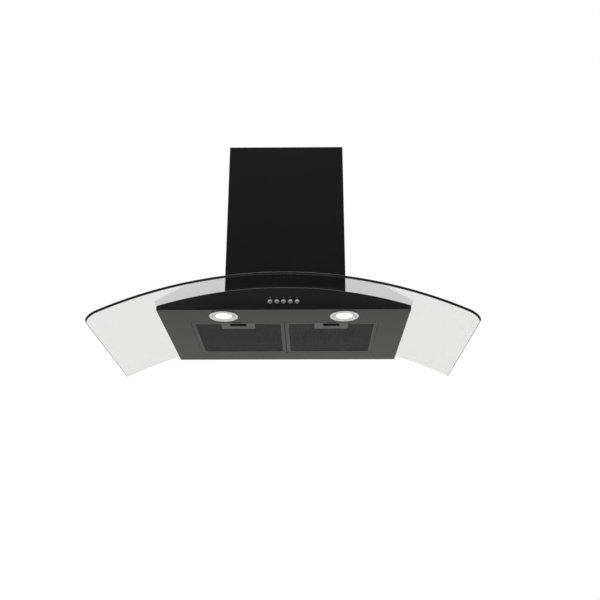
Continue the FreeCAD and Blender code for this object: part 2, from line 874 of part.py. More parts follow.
def motor_body():
    """Round motor inside the rear half of the impeller."""
    can = rod(motor_radius, scroll_x, motor_front, scroll_z, motor_length, Y_AXIS)
    ends = [e for e in can.Edges if e.Closed]
    can = can.makeFillet(motor_edge_radius, ends)
    start = motor_front - past
    bore = rod(shaft_radius + shaft_gap, scroll_x, start, scroll_z, 2 * motor_length, Y_AXIS)
    return can.cut(bore)


def foot_screw_places():
    """Centres of the screws in the feet of the motor bracket."""
    radius = arm_root + (bracket_plate + arm_reach) / 2
    turns = [math.radians(a) for a in arm_angles]
    return [(scroll_x + radius * math.cos(t), scroll_z + radius * math.sin(t)) for t in turns]


def motor_bracket():
    """Plate behind the motor with three arms that stand on the scroll's rear wall."""
    rear = motor_rear + bracket_plate
    half = arm_width / 2
    radius = motor_radius + bracket_rim
    pieces = [rod(radius, scroll_x, motor_rear, scroll_z, bracket_plate, Y_AXIS)]
    for angle in arm_angles:
        knee = arm_root + bracket_plate
        arm = box(motor_radius - past, knee, motor_rear, rear, -half, half)
        leg = box(arm_root, knee, scroll_rear, rear, -half, half)
        foot_rear = scroll_rear + bracket_plate
        foot = box(arm_root, arm_root + arm_reach, scroll_rear, foot_rear, -half, half)
        whole = join(arm, leg, foot)
        whole.rotate(Vec(0, 0, 0), Y_AXIS, -angle)
        whole.translate(Vec(scroll_x, 0, scroll_z))
        pieces.append(whole)
    bracket = join(*pieces)
    bore = rod(bracket_bore_radius, scroll_x, motor_rear - past, scroll_z, 3 * past, Y_AXIS)
    bracket = bracket.cut(bore)
    for x, z in foot_screw_places():
        bracket = bracket.cut(rod(screw_radius, x, scroll_rear - past, z, 2 * past, Y_AXIS))
    return bracket


def capacitor():
    """Run capacitor on the inside of the chamber's back wall."""
    wall = chamber_rear - sheet
    x = chamber_inner - capacitor_radius - chamber_flange
    y = wall - capacitor_radius - capacitor_wall_gap
    low = chamber_top - capacitor_drop - capacitor_length
    can = rod(capacitor_radius, x, y, low, capacitor_length, Z_AXIS)
    half = capacitor_foot_width / 2
    foot_z = low + capacitor_foot_inset
    foot = box(x - half, x + half, y, wall, foot_z, foot_z + capacitor_foot_height)
    return join(can, foot)


# ---- Electrics ----


def box_edges():
    """Left and right faces of the junction box."""
    return (-(chamber_inner - box_side_gap), -(duct_radius + collar_wall + box_collar_gap))


def gland_x():
    """Distance of the cable gland from mid-width: just outside the outlet collar's flange."""
    return -(duct_radius + collar_flange + gland_collar_gap + gland_nut_radius)


def gland_bottom():
    """Lower end of the gland's thread."""
    return chamber_top - box_wall - gland_thread_tail


def junction_box():
    """Wiring box under the top plate, open below."""
    left, right = box_edges()
    y0 = duct_y - box_depth / 2
    y1 = duct_y + box_depth / 2
    low = chamber_top - box_height + box_wall
    roof = chamber_top - box_wall
    shell = box(left, right, y0, y1, low, chamber_top)
    left += box_wall
    right -= box_wall
    inner = box(left, right, y0 + box_wall, y1 - box_wall, low - past, roof)
    hole = rod(gland_thread_radius, gland_x(), duct_y, gland_bottom(), 2 * past, Z_AXIS)
    return shell.cut(inner).cut(hole)


def junction_box_cover():
    """Plate that closes the wiring box from below."""
    left, right = box_edges()
    low = chamber_top - box_height
    return box(left, right, duct_y - box_depth / 2, duct_y + box_depth / 2, low, low + box_wall)


def cable_gland():
    """Gland that the supply cable comes in through."""
    x = gland_x()
    low = gland_bottom()
    dome_z = plate_top + gland_nut_height
    thread = rod(gland_thread_radius, x, duct_y, low, plate_top - low, Z_AXIS)
    nut = hexagon(gland_nut_radius, x, duct_y, plate_top, gland_nut_height, Z_AXIS)
    dome = rod(gland_dome_radius, x, duct_y, dome_z, gland_dome_height, Z_AXIS)
    height = dome_z + gland_dome_height - low
    bore = rod(gland_bore_radius, x, duct_y, low - past, height + 2 * past, Z_AXIS)
    return join(thread, nut, dome).cut(bore)


def switch_front():
    """Front face of the switch block, clear of the pressed buttons."""
    return panel_back + button_collar + button_travel + switch_gap


def switch_block():
    """Switch housing behind the front panel, with one bore for each button's stem."""
    front = switch_front()
    half = switch_width / 2
    block = box(-half, half, front, front + switch_depth, sheet, sheet + switch_height)
    radius = button_stem_radius + button_stem_gap
    length = past + switch_depth - switch_bore_floor
    for x in button_xs():
        block = block.cut(rod(radius, x, front - past, button_height, length, Y_AXIS))
    return block


def canopy_leads():
    """Leads from the lamps to the switch block, and from there up to the junction box."""
    rear = switch_front() + switch_depth
    side = switch_width / 2
    lamp_side = lamp_spacing / 2 - lamp_can_radius
    mid = (lamp_side + side) / 2
    height = sheet + lamp_can_height / 2
    y = lamp_y
    leads = []
    for way in sides.values():
        leads.append(
            lead(
                [
                    (way * lamp_side, y, height),
                    (way * (mid + 14), y, height),
                    (way * mid, y - 9, height + 2),
                    (way * (mid - 14), y - 18, height + 3),
                    (way * side, y - 18, height + 3),
                ]
            )
        )
    x = gland_x()
    front = chamber_front + sheet + chamber_flange
    under = chamber_top - box_height
    entry = duct_y - box_depth / 2 + 16
    leads.append(
        lead(
            [
                (-30, rear, 22),
                (-30, rear + 18, 22),
                (-55, rear + 48, 30),
                (x + 21, front - 30, 34),
                (x + 5, front + 4, 44),
                (x, front + 16, 80),
                (x - 2, front + 18, 130),
                (x, front + 16, 190),
                (x + 1, entry - 14, under - 50),
                (x, entry, under - 20),
                (x, entry, under),
            ]
        )
    )
    return leads


def motor_lead():
    """Lead from the motor's rear plate to the junction box."""
    x = gland_x()
    start_x = scroll_x - motor_radius / 2
    rear = motor_rear + bracket_plate
    under = chamber_top - box_height
    entry = duct_y + box_depth / 2 - 24
    return lead(
        [
            (start_x, rear, scroll_z + 18),
            (start_x, rear + 12, scroll_z + 18),
            (start_x - 12, rear + 18, scroll_z + 40),
            (start_x - 30, rear + 15, scroll_z + 66),
            (x + 6, rear - 4, scroll_z + 86),
            (x, rear - 32, under - 28),
            (x, entry, under - 16),
            (x, entry, under),
        ]
    )


# ---- Buttons ----


def button_xs():
    """Centres of the push buttons along the panel."""
    return [(i - (button_count - 1) / 2) * button_pitch for i in range(button_count)]


def button(x):
    """Domed cap with a collar behind the panel and a stem in the switch block."""
    front = canopy_front - button_proud
    ball = Part.makeSphere(button_dome_radius, Vec(x, front + button_dome_radius, button_height))
    cap = rod(button_radius, x, front, button_height, panel_back - front, Y_AXIS).common(ball)
    radius = button_radius + button_collar_extra
    collar = rod(radius, x, panel_back, button_height, button_collar, Y_AXIS)
    back = panel_back + button_collar
    stem = rod(button_stem_radius, x, back, button_height, button_stem_length, Y_AXIS)
    return join(cap, collar, stem)


# ---- Lamps ----


def lamp_bezel(x):
    """Flat ring under the pan that holds the lens, with two countersunk screw holes."""
    ring = rod(lamp_ring_radius, x, lamp_y, -lamp_ring_height, lamp_ring_height, Z_AXIS)
    ring = ring.makeFillet(lamp_ring_edge, rims_at(ring, -lamp_ring_height))
    mouth = Part.makeCone(
        lamp_lens_radius + lamp_mouth_flare,
        lamp_lens_radius,
        lamp_ring_height,
        Vec(x, lamp_y, -lamp_ring_height),
        Z_AXIS,
    )
    ring = ring.cut(mouth)
    seat = lamp_head_z + lamp_screw_head_height
    for way in sides.values():
        hole_x = x + way * lamp_screw_offset
        ring = ring.cut(rod(screw_radius, hole_x, lamp_y, -past, 2 * past, Z_AXIS))
        ring = ring.cut(rod(lamp_screw_head_radius, hole_x, lamp_y, -past, past + seat, Z_AXIS))
    return ring


def lamp_lens(x):
    """Frosted disc that rests on the bezel's inner edge."""
    radius = lamp_lens_radius + lamp_lens_lip
    return rod(radius, x, lamp_y, 0, lamp_lens_thickness, Z_AXIS)


def lamp_housing(x):
    """Round can above the pan, with a flange for the two lamp screws."""
    radius = lamp_can_radius
    can = rod(radius, x, lamp_y, sheet, lamp_can_height, Z_AXIS)
    flange = rod(radius + lamp_can_flange, x, lamp_y, sheet, lamp_can_wall, Z_AXIS)
    hollow = Part.makeCone(
        lamp_lens_radius + lamp_lens_lip + lamp_reflector_gap,
        lamp_reflector_top,
        lamp_can_height - lamp_can_wall,
        Vec(x, lamp_y, sheet),
        Z_AXIS,
    )
    body = join(can, flange).cut(hollow)
    length = past + sheet + lamp_screw_hole
    for way in sides.values():
        hole_x = x + way * lamp_screw_offset
        body = body.cut(rod(screw_radius, hole_x, lamp_y, -past, length, Z_AXIS))
    return body


def lamp_screws():
    """Countersunk screws that clamp each bezel to its housing."""
    screws = []
    radius = lamp_screw_head_radius
    height = lamp_screw_head_height
    length = lamp_ring_height + sheet + lamp_screw_grip
    for x in lamp_xs:
        for way in sides.values():
            at = x + way * lamp_screw_offset
            head = rod(radius, at, lamp_y, lamp_head_z, height, Z_AXIS)
            shank = rod(screw_radius, at, lamp_y, lamp_head_z + height, length, Z_AXIS)
            screws.append(join(head, shank))
    return screws


# ---- Filters ----


def filter_width():
    """Width of one filter: half the opening, less its share of the gaps."""
    return opening_half - 2 * filter_side_gap


def filter_centre(side):
    """Distance of a filter's centre line from mid-width."""
    return side * (filter_side_gap + filter_width() / 2)


def filter_span():
    """Front and rear faces of a filter."""
    return (opening_front + filter_front_gap, opening_rear - filter_rear_gap)


def filter_frame(side):
    """Folded rim of a filter, with two rear tabs that hook over the pan."""
    centre = filter_centre(side)
    half = filter_width() / 2
    y0, y1 = filter_span()
    x0 = centre - half
    x1 = centre + half
    wall = filter_wall
    block = box(x0, x1, y0, y1, 0, filter_thickness)
    hollow = box(x0 + wall, x1 - wall, y0 + wall, y1 - wall, wall, filter_thickness - wall)
    rim = filter_side_rim
    front = y0 + filter_front_rim
    window = box(x0 + rim, x1 - rim, front, y1 - filter_rear_rim, -past, wall + thin_past)
    rim = filter_top_rim
    top_z = filter_thickness - wall - thin_past
    top = box(x0 + rim, x1 - rim, y0 + rim, y1 - rim, top_z, filter_thickness + past)
    handle_x0 = centre - handle_width / 2
    handle_x1 = centre + handle_width / 2
    seat = box(handle_x0, handle_x1, y0 + wall, front + thin_past, -past, wall)
    frame = block.cut(hollow).cut(window).cut(top).cut(seat)
    frame = frame.cut(bolt_way(centre, y0 - thin_past, y0 + wall + thin_past))
    tabs = []
    for way in sides.values():
        tab_x = centre + way * filter_tab_offset
        half_tab = filter_tab_width / 2
        low = sheet + fit_gap
        tip = y1 + filter_rear_gap + filter_tab_reach
        tab = box(tab_x - half_tab, tab_x + half_tab, y1 - wall, tip, low, low + wall)
        tabs.append(tab)
    return join(frame, *tabs)


def bolt_way(centre, y0, y1):
    """Slot that the latch bolt slides through."""
    half = bolt_width / 2 + bolt_gap
    low = bolt_bottom()
    return box(centre - half, centre + half, y0, y1, low - bolt_gap, low + bolt_height + bolt_gap)


def bolt_bottom():
    """Underside of the latch bolt, level with the top of its keeper."""
    return sheet + keeper_thickness


def handle_front():
    """Front edge of the handle plate, against the inside of the filter's front wall."""
    return filter_span()[0] + filter_wall


def pocket_front():
    """Front face of the latch pocket."""
    return handle_front() + pocket_front_gap


def filter_mesh(side):
    """Pleated aluminium mesh between the rims, cut away round the latch pocket."""
    centre = filter_centre(side)
    half = filter_width() / 2 - filter_wall - fit_gap
    y0, y1 = filter_span()
    low = filter_wall
    high = filter_thickness - filter_wall
    count = int(2 * half / mesh_pitch) * 2
    pitch = 2 * half / count
    lower = []
    upper = []
    for step in range(count + 1):
        x = centre - half + step * pitch
        fold = low if step % 2 == 0 else high - mesh_thickness
        lower.append((x, fold))
        upper.append((x, fold + mesh_thickness))
    inset = filter_wall + fit_gap
    pleats = polygon_y(lower + upper[::-1], y0 + inset, y1 - inset)
    half_pocket = pocket_width / 2 + fit_gap
    rear = pocket_front() + pocket_depth + fit_gap
    top = filter_thickness + past
    return pleats.cut(box(centre - half_pocket, centre + half_pocket, y0, rear, -past, top))


def filter_handle(side):
    """Flat plate in the filter's face with the finger slot."""
    centre = filter_centre(side)
    y0 = handle_front()
    half = handle_width / 2
    plate = box(centre - half, centre + half, y0, y0 + handle_depth, 0, filter_wall)
    half = slot_width / 2
    slot_y = y0 + slot_front_offset
    slot_rear = slot_y + slot_depth
    r = slot_corner_radius
    slot = rounded_box(centre - half, centre + half, slot_y, slot_rear, -past, past, r)
    return plate.cut(slot)


def filter_pocket(side):
    """Moulded cup above the finger slot, which guides the latch."""
    centre = filter_centre(side)
    half = pocket_width / 2
    y0 = pocket_front()
    y1 = y0 + pocket_depth
    low = filter_wall
    cup = box(centre - half, centre + half, y0, y1, low, low + pocket_height)
    wall = pocket_wall
    inner = half - wall
    roof = low + pocket_height - wall
    hollow = box(centre - inner, centre + inner, y0 + wall, y1 - wall, low - thin_past, roof)
    return cup.cut(hollow).cut(bolt_way(centre, y0 - thin_past, y0 + wall + thin_past))


def latch_rear():
    """Rear face of the latch's finger lip at rest."""
    return handle_front() + slot_front_offset + slot_depth - latch_rest_gap


def filter_latch(side):
    """Sliding latch: a bolt at the front and a finger lip at the rear of one plate."""
    centre = filter_centre(side)
    half = latch_width / 2
    top = filter_wall + pocket_height - pocket_wall - fit_gap
    front = pocket_front() + pocket_wall + fit_gap
    rear = latch_rear()
    plate = box(centre - half, centre + half, front, rear, top - latch_plate, top)
    lip = box(centre - half, centre + half, rear - latch_lip, rear, filter_wall + fit_gap, top)
    half = bolt_width / 2
    low = bolt_bottom()
    tip = filter_span()[0] - bolt_reach
    neck_rear = front + bolt_neck
    bolt = box(centre - half, centre + half, tip, neck_rear, low, low + bolt_height)
    neck = box(centre - half, centre + half, front, neck_rear, low, top)
    return join(plate, lip, bolt, neck)


def filter_spring(side):
    """Coil spring that pushes the latch forward."""
    start = latch_rear()
    end = pocket_front() + pocket_depth - pocket_wall
    length = end - start - 2 * spring_wire
    helix = Part.makeHelix(length / spring_turns, length, spring_radius)
    ring = Part.Wire(Part.makeCircle(spring_wire, Vec(spring_radius, 0, 0), Y_AXIS))
    coil = Part.Wire(helix).makePipeShell([ring], True, True)
    z = filter_wall + pocket_height - pocket_wall - spring_radius - spring_roof_gap
    place = Vec(filter_centre(side), start + spring_wire, z)
    coil.Placement = FreeCAD.Placement(place, FreeCAD.Rotation(Z_AXIS, Y_AXIS))
    return coil


def keeper_front():
    """Front end of the notch in the pan under the latch bolt."""
    return filter_span()[0] - bolt_reach - keeper_gap


def filter_keeper(side):
    """Leaf of spring steel on the pan that carries the latch bolt."""
    centre = filter_centre(side)
    half = bolt_width / 2 + keeper_margin
    y0 = keeper_front() - keeper_length
    y1 = opening_front - keeper_gap
    return box(centre - half, centre + half, y0, y1, sheet, sheet + keeper_thickness)


# ---- Chimney and wall brackets ----


def chimney_lower():
    """Outer chimney shell, open to the wall, whose foot follows the glass."""
    shell = box(-chimney_half, chimney_half, -chimney_depth, 0, 0, chimney_top)
    inner = chimney_half - sheet
    shell = shell.cut(box(-inner, inner, -chimney_depth + sheet, past, -past, chimney_top + past))
    for side in sides.values():
        outer = side * chimney_half
        edge = side * (chimney_half - chimney_flange)
        shell = join(shell, box(outer, edge, -sheet, 0, 0, chimney_top))
    shell = shell.cut(arch_rod(glass_top_radius, -chimney_depth - past, past))
    length = chimney_width + 2 * past
    hole = rod(screw_radius, -chimney_half - past, clip_y, clip_z, length, X_AXIS)
    return shell.cut(hole)


def chimney_upper():
    """Inner chimney shell that telescopes upward, with louvres near its top."""
    rear = upper_rear
    shell = box(-upper_half, upper_half, upper_front, rear, upper_bottom, chimney_top)
    inner = upper_half - sheet
    shell = shell.cut(box(-inner, inner, upper_front + sheet, rear + past, 0, chimney_top + past))
    for side in sides.values():
        outer = side * upper_half
        edge = side * (upper_half - chimney_flange)
        shell = join(shell, box(outer, edge, rear - sheet, rear, upper_bottom, chimney_top))
    for step in range(louvre_count):
        z = chimney_top - louvre_top_margin - step * louvre_pitch
        y0 = duct_y - louvre_length / 2
        half = upper_half + past
        shell = shell.cut(box(-half, half, y0, y0 + louvre_length, z - louvre_height, z))
    return shell


def chimney_bracket():
    """Wall strap with bent ends that holds the upper chimney."""
    flange_front = upper_rear - sheet
    ear = flange_front - strap_plate
    inner = upper_half - sheet
    step = upper_half - chimney_flange - strap_step_gap
    z1 = chimney_top - strap_top_margin
    z0 = z1 - strap_height
    strap = box(-step, step, -strap_plate, 0, z0, z1)
    for side in sides.values():
        near = side * (step - strap_plate)
        joggle = box(near, side * step, ear, 0, z0, z1)
        wing = box(near, side * inner, ear, flange_front, z0, z1)
        tip = side * (inner - strap_plate)
        arm = box(tip, side * inner, ear - strap_side_length, flange_front, z0, z1)
        strap = join(strap, joggle, wing, arm)
        x = side * strap_hole_spacing / 2
        strap = strap.cut(rod(strap_hole_radius, x, -past, (z0 + z1) / 2, 2 * past, Y_AXIS))
    return strap


def chimney_clips():
    """Bent brackets between the motor chamber and the lower chimney."""
    clips = []
    plate = clip_plate
    inner = chimney_half - sheet
    y0 = clip_y - clip_length / 2
    y1 = clip_y + clip_length / 2
    z0 = clip_z - clip_below
    z1 = clip_z + clip_above
    for side in sides.values():
        root = box(side * chamber_half, side * (chamber_half + plate), y0, y1, z0, z1)
        bridge = box(side * chamber_half, side * inner, y0, y1, z0, z0 + plate)
        ear = box(side * (inner - plate), side * inner, y0, y1, z0, z1)
        hole = rod(screw_radius, side * inner, clip_y, clip_z, clip_screw_tail, X_AXIS * -side)
        clips.append(join(root, bridge, ear).cut(hole))
    return clips


def wall_bracket():
    """Plate screwed to the wall, with two hooks that carry the motor chamber."""
    low = hook_z - bracket_height / 2
    half = bracket_width / 2
    plate = box(-half, half, -bracket_plate, 0, low, low + bracket_height)
    pieces = [plate]
    lip_rear = chamber_rear - sheet - hook_lip_gap
    lip_front = lip_rear - bracket_plate
    for side in sides.values():
        x = side * hook_spacing / 2
        half = hook_width / 2
        under = hook_z - bracket_plate
        pieces.append(box(x - half, x + half, lip_front, 0, under, hook_z))
        pieces.append(box(x - half, x + half, lip_front, lip_rear, under, hook_z + hook_lip))
    bracket = join(*pieces)
    for side in sides.values():
        x = side * bracket_hole_spacing / 2
        hole_z = low + bracket_height - bracket_hole_drop
        bracket = bracket.cut(rod(bracket_hole_radius, x, -past, hole_z, 2 * past, Y_AXIS))
    return bracket


def main():
    """Builds every node and writes it."""
    os.makedirs("parts", exist_ok=True)
    save("bottom_pan", bottom_pan())
    save("front_panel", front_panel())
    save("rear_panel", rear_panel())
    save("top_cover", top_cover())
    save("body_screws", *body_screws())
    save("glass_canopy", glass_canopy())
    save("glass_gasket", *glass_gasket())
    save("glass_screws", *glass_screws())
    save("motor_chamber", motor_chamber())
    save("chamber_top_plate", chamber_top_plate())
    save("outlet_adapter", outlet_adapter())
    save("outlet_collar", outlet_collar())
    save("damper_pin", damper_pin())
    save("scroll_housing", scroll_housing())
    save("scroll_cover", scroll_cover())
    save("impeller", impeller())
    save("motor_shaft", motor_shaft())
    save("impeller_nut", impeller_nut())
    save("motor_body", motor_body())
    save("motor_bracket", motor_bracket())
    save("capacitor", capacitor())
    save("junction_box", junction_box())
    save("junction_box_cover", junction_box_cover())
    save("cable_gland", cable_gland())
    save("switch_block", switch_block())
    save("canopy_leads", *canopy_leads())
    save("motor_lead", motor_lead())
    save("lamp_housings", *[lamp_housing(x) for x in lamp_xs])
    save("lamp_screws", *lamp_screws())
    save("chimney_lower", chimney_lower())
    save("chimney_upper", chimney_upper())
    save("chimney_bracket", chimney_bracket())
    save("chimney_clips", *chimney_clips())
    save("wall_bracket", wall_bracket())
    for name, x in zip(button_names, button_xs()):
        save("button_" + name, button(x))
    for name, side in sides.items():
        lamp_x = side * lamp_spacing / 2
        save("damper_flap_" + name, damper_flap(side))
        save("lamp_bezel_" + name, lamp_bezel(lamp_x))
        save("lamp_lens_" + name, lamp_lens(lamp_x))
        save("filter_" + name + "_frame", filter_frame(side))
        save("filter_" + name + "_mesh", filter_mesh(side))
        save("filter_" + name + "_handle", filter_handle(side))
        save("filter_" + name + "_pocket", filter_pocket(side))
        save("filter_" + name + "_latch", filter_latch(side))
        save("filter_" + name + "_spring", filter_spring(side))
        save("filter_" + name + "_keeper", filter_keeper(side))


main()
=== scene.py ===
"""Wall-mounted range hood with a curved glass canopy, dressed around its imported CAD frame.

Lengths are metres unless a name ends in _mm. +X runs along the width, +Y into the wall, +Z up.
"""

import logging
import math
from dataclasses import dataclass, field
from enum import Enum
from typing import Callable, Iterable, Optional, Sequence, Union

import bpy
from mathutils import Matrix, Vector


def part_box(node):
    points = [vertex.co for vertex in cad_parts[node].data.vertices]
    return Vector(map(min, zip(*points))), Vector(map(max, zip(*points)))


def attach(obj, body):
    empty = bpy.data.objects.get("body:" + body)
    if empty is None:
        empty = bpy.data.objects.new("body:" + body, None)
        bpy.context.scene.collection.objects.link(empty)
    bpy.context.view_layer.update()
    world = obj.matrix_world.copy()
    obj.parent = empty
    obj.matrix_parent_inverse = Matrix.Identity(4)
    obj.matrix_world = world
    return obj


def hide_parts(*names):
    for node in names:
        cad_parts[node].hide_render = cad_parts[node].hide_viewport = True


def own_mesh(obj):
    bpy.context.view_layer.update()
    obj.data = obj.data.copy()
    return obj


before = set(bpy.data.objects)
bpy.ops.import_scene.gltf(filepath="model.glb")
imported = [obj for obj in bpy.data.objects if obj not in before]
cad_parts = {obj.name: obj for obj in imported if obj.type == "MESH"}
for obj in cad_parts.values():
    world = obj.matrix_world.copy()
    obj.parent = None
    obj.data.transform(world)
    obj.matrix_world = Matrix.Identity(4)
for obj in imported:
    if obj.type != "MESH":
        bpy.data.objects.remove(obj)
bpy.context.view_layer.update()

log = logging.getLogger("range_hood")

MM = 0.001
SIDES = ("left", "right")
SHARP_ANGLE = math.radians(35)  # faces that meet at more than this have an edge between them
FLAT_ANGLE = math.radians(0.2)  # faces that meet at less than this are one flat
WELD_REACH = 1e-5  # corners closer than this are one corner
WAVE_PERIOD = 2 * math.pi / 20  # distance between the rings of a wave texture whose scale is one
SCRATCH_LENGTH = 40.0  # length of a brushed scratch over its width
DRIFT_SIZE = 0.12  # width of the slow change in shade that any real surface has
SHADE_RANGE = (0.1, 0.45)  # what the pattern times the drift spans
MARK_STEPS = 20  # straight runs in a printed arc
BAR_PITCH = 1.2  # millimetres between the bars of a speed mark
BAR_HALF = 1.3  # half a bar's height in millimetres

Colour = tuple[float, float, float, float]
Profile = Sequence[tuple[float, float]]


# ---- Finishes ----


def linear(colour: str) -> Colour:
    """Turn an sRGB hex colour into linear light.

    Args:
        colour: Six hex digits after a hash.

    Returns:
        Red, green, blue and an alpha of one.
    """
    shares = [int(colour[i : i + 2], 16) / 255 for i in (1, 3, 5)]
    red, green, blue = (s / 12.92 if s <= 0.04045 else ((s + 0.055) / 1.055) ** 2.4 for s in shares)
    return (red, green, blue, 1.0)


def blank_material(name: str) -> bpy.types.Material:
    """Make a material with no nodes.

    Args:
        name: Name of the material.

    Returns:
        The material.
    """
    material = bpy.data.materials.new(name)
    material.use_nodes = True
    material.node_tree.nodes.clear()
    return material


def add_node(
    tree: bpy.types.NodeTree, kind: str, inputs: Optional[dict] = None, **settings: object
) -> bpy.types.Node:
    """Add a node with its settings, and feed its inputs.

    Args:
        tree: The node tree that gets the node.
        kind: The node's type name.
        inputs: For each input's name or number, a value or the socket that feeds it.
        settings: Properties of the node.

    Returns:
        The new node.
    """
    node = tree.nodes.new(kind)
    for name, value in settings.items():
        setattr(node, name, value)
    for key, value in (inputs or {}).items():
        if isinstance(value, bpy.types.NodeSocket):
            tree.links.new(value, node.inputs[key])
        else:
            node.inputs[key].default_value = value
    return node


class Axis(Enum):
    """Direction of a grain or of a turned piece's axis."""

    X = (1, 0, 0)
    Y = (0, 1, 0)
    Z = (0, 0, 1)


class Pattern(Enum):
    """What making the surface left on it."""

    ORANGE_PEEL = "orange peel"
    SPANGLE = "spangle"
    BRUSHED = "brushed"
    MOULDED = "moulded"
    TURNED = "turned"

    def factor(
        self, tree: bpy.types.NodeTree, place: bpy.types.NodeSocket, size: float, grain: Axis
    ) -> bpy.types.NodeSocket:
        """Draw the pattern.

        Args:
            tree: The material's node tree.
            place: Coordinates in metres.
            size: Width of a cell, scratch or ring in metres.
            grain: Direction of the scratches, or the axis of the rings.

        Returns:
            A socket that goes from 0 to 1.
        """
        if self is Pattern.SPANGLE:
            cells = add_node(tree, "ShaderNodeTexVoronoi", {"Vector": place, "Scale": 1 / size})
            split = add_node(tree, "ShaderNodeSeparateColor", {"Color": cells.outputs["Color"]})
            return split.outputs["Red"]
        if self is Pattern.TURNED:
            rings = add_node(
                tree,
                "ShaderNodeTexWave",
                {"Vector": place, "Scale": WAVE_PERIOD / size, "Distortion": 1.5, "Detail": 2.0},
                wave_type="RINGS",
                rings_direction=grain.name,
            )
            return rings.outputs["Fac"]
        if self is Pattern.BRUSHED:
            stretch = tuple(1 / SCRATCH_LENGTH if share else 1.0 for share in grain.value)
            mapping = add_node(tree, "ShaderNodeMapping", {"Vector": place, "Scale": stretch})
            place = mapping.outputs["Vector"]
        fine = self is Pattern.MOULDED
        grit = {"Detail": 5.0, "Roughness": 0.65} if fine else {"Detail": 2.0, "Roughness": 0.5}
        noise = add_node(tree, "ShaderNodeTexNoise", {"Vector": place, "Scale": 1 / size, **grit})
        return noise.outputs["Fac"]


@dataclass(frozen=True)
class Finish:
    """An opaque surface: its material, and how it was made.

    The pattern's cells, scratches or rings are size_mm wide and relief_mm deep.
    """

    name: str
    slot: str
    colour: str
    drift_colour: str
    pattern: Pattern
    size_mm: float
    relief_mm: float
    roughness: tuple[float, float]
    metallic: float = 0.0
    ior: float = 1.5
    coat: float = 0.0
    grain: Axis = Axis.X
    glow: float = 0.0

    def build(self) -> bpy.types.Material:
        """Make the material, or find it if it is made already.

        Returns:
            The material.
        """
        made = bpy.data.materials.get(self.name)
        if made:
            return made
        material = blank_material(self.name)
        tree = material.node_tree
        place = add_node(tree, "ShaderNodeTexCoord").outputs["Object"]
        factor = self.pattern.factor(tree, place, self.size_mm * MM, self.grain)
        cloud = {"Vector": place, "Scale": 1 / DRIFT_SIZE, "Detail": 3.0}
        drift = add_node(tree, "ShaderNodeTexNoise", cloud)
        pair = {0: factor, 1: drift.outputs["Fac"]}
        both = add_node(tree, "ShaderNodeMath", pair, operation="MULTIPLY", use_clamp=True)
        least, most = SHADE_RANGE
        span = {"Value": both.outputs["Value"], "From Min": least, "From Max": most}
        spread = add_node(tree, "ShaderNodeMapRange", span)
        colour = add_node(
            tree,
            "ShaderNodeMix",
            {0: spread.outputs["Result"], 6: linear(self.colour), 7: linear(self.drift_colour)},
            data_type="RGBA",
        )
        low, high = self.roughness
        rough = add_node(
            tree, "ShaderNodeMapRange", {"Value": factor, "To Min": low, "To Max": high}
        )
        bump = add_node(
            tree, "ShaderNodeBump", {"Height": factor, "Distance": self.relief_mm * MM}
        )
        skin = {
            "Base Color": colour.outputs[2],
            "Roughness": rough.outputs["Result"],
            "Normal": bump.outputs["Normal"],
            "Metallic": self.metallic,
            "IOR": self.ior,
            "Coat Weight": self.coat,
            "Emission Strength": self.glow,
        }
        if self.glow:
            skin["Emission Color"] = linear(self.colour)
        shader = add_node(tree, "ShaderNodeBsdfPrincipled", skin)
        add_node(tree, "ShaderNodeOutputMaterial", {"Surface": shader.outputs["BSDF"]})
        return material


@dataclass(frozen=True)
class ClearGlass:
    """Toughened float glass, bent in a furnace, whose rollers leave a very faint wave.

    It is clear with a neutral tint, and light that falls through it goes straight on.
    """

    name: str = "toughened_float_glass"
    slot: str = "toughened_glass"
    tint: str = "#E6E6E6"
    ior: float = 1.52
    wave_mm: float = 90.0
    relief_mm: float = 0.02

    def build(self) -> bpy.types.Material:
        """Make the material, or find it if it is made already.

        Returns:
            The material.
        """
        made = bpy.data.materials.get(self.name)
        if made:
            return made
        material = blank_material(self.name)
        tree = material.node_tree
        place = add_node(tree, "ShaderNodeTexCoord").outputs["Object"]
        swell = {"Vector": place, "Scale": 1 / (self.wave_mm * MM), "Detail": 1.0}
        wave = add_node(tree, "ShaderNodeTexNoise", swell)
        lift = {"Height": wave.outputs["Fac"], "Distance": self.relief_mm * MM}
        bump = add_node(tree, "ShaderNodeBump", lift)
        shader = add_node(
            tree,
            "ShaderNodeBsdfPrincipled",
            {
                "Base Color": linear(self.tint),
                "Roughness": 0.0,
                "IOR": self.ior,
                "Transmission Weight": 1.0,
                "Normal": bump.outputs["Normal"],
            },
        )
        clear = add_node(tree, "ShaderNodeBsdfTransparent", {"Color": linear(self.tint)})
        rays = add_node(tree, "ShaderNodeLightPath")
        mix = add_node(
            tree,
            "ShaderNodeMixShader",
            {0: rays.outputs["Is Shadow Ray"], 1: shader.outputs["BSDF"], 2: clear.outputs["BSDF"]},
        )
        add_node(tree, "ShaderNodeOutputMaterial", {"Surface": mix.outputs["Shader"]})
        return material


AnyFinish = Union[Finish, ClearGlass]

# Real scratches, turned rings and moulded textures are 0.1 to 0.3 mm wide. They are drawn at 0.5 to
# 1.5 mm so that they show.

# Polyester powder coat on pressed steel: near black, satin, with the soft orange peel of powder that
# flowed in the oven. Real peel is about 1.5 mm across, drawn at 3 mm so that it shows. Matting wax in the
# powder takes some of its shine, so its IOR is under a clear polyester's 1.5.
POWDER_COAT = Finish(
    "black_powder_coat", "black_steel", "#161617", "#191919",
    Pattern.ORANGE_PEEL, 3.0, 0.004, (0.30, 0.38), ior=1.3,
)
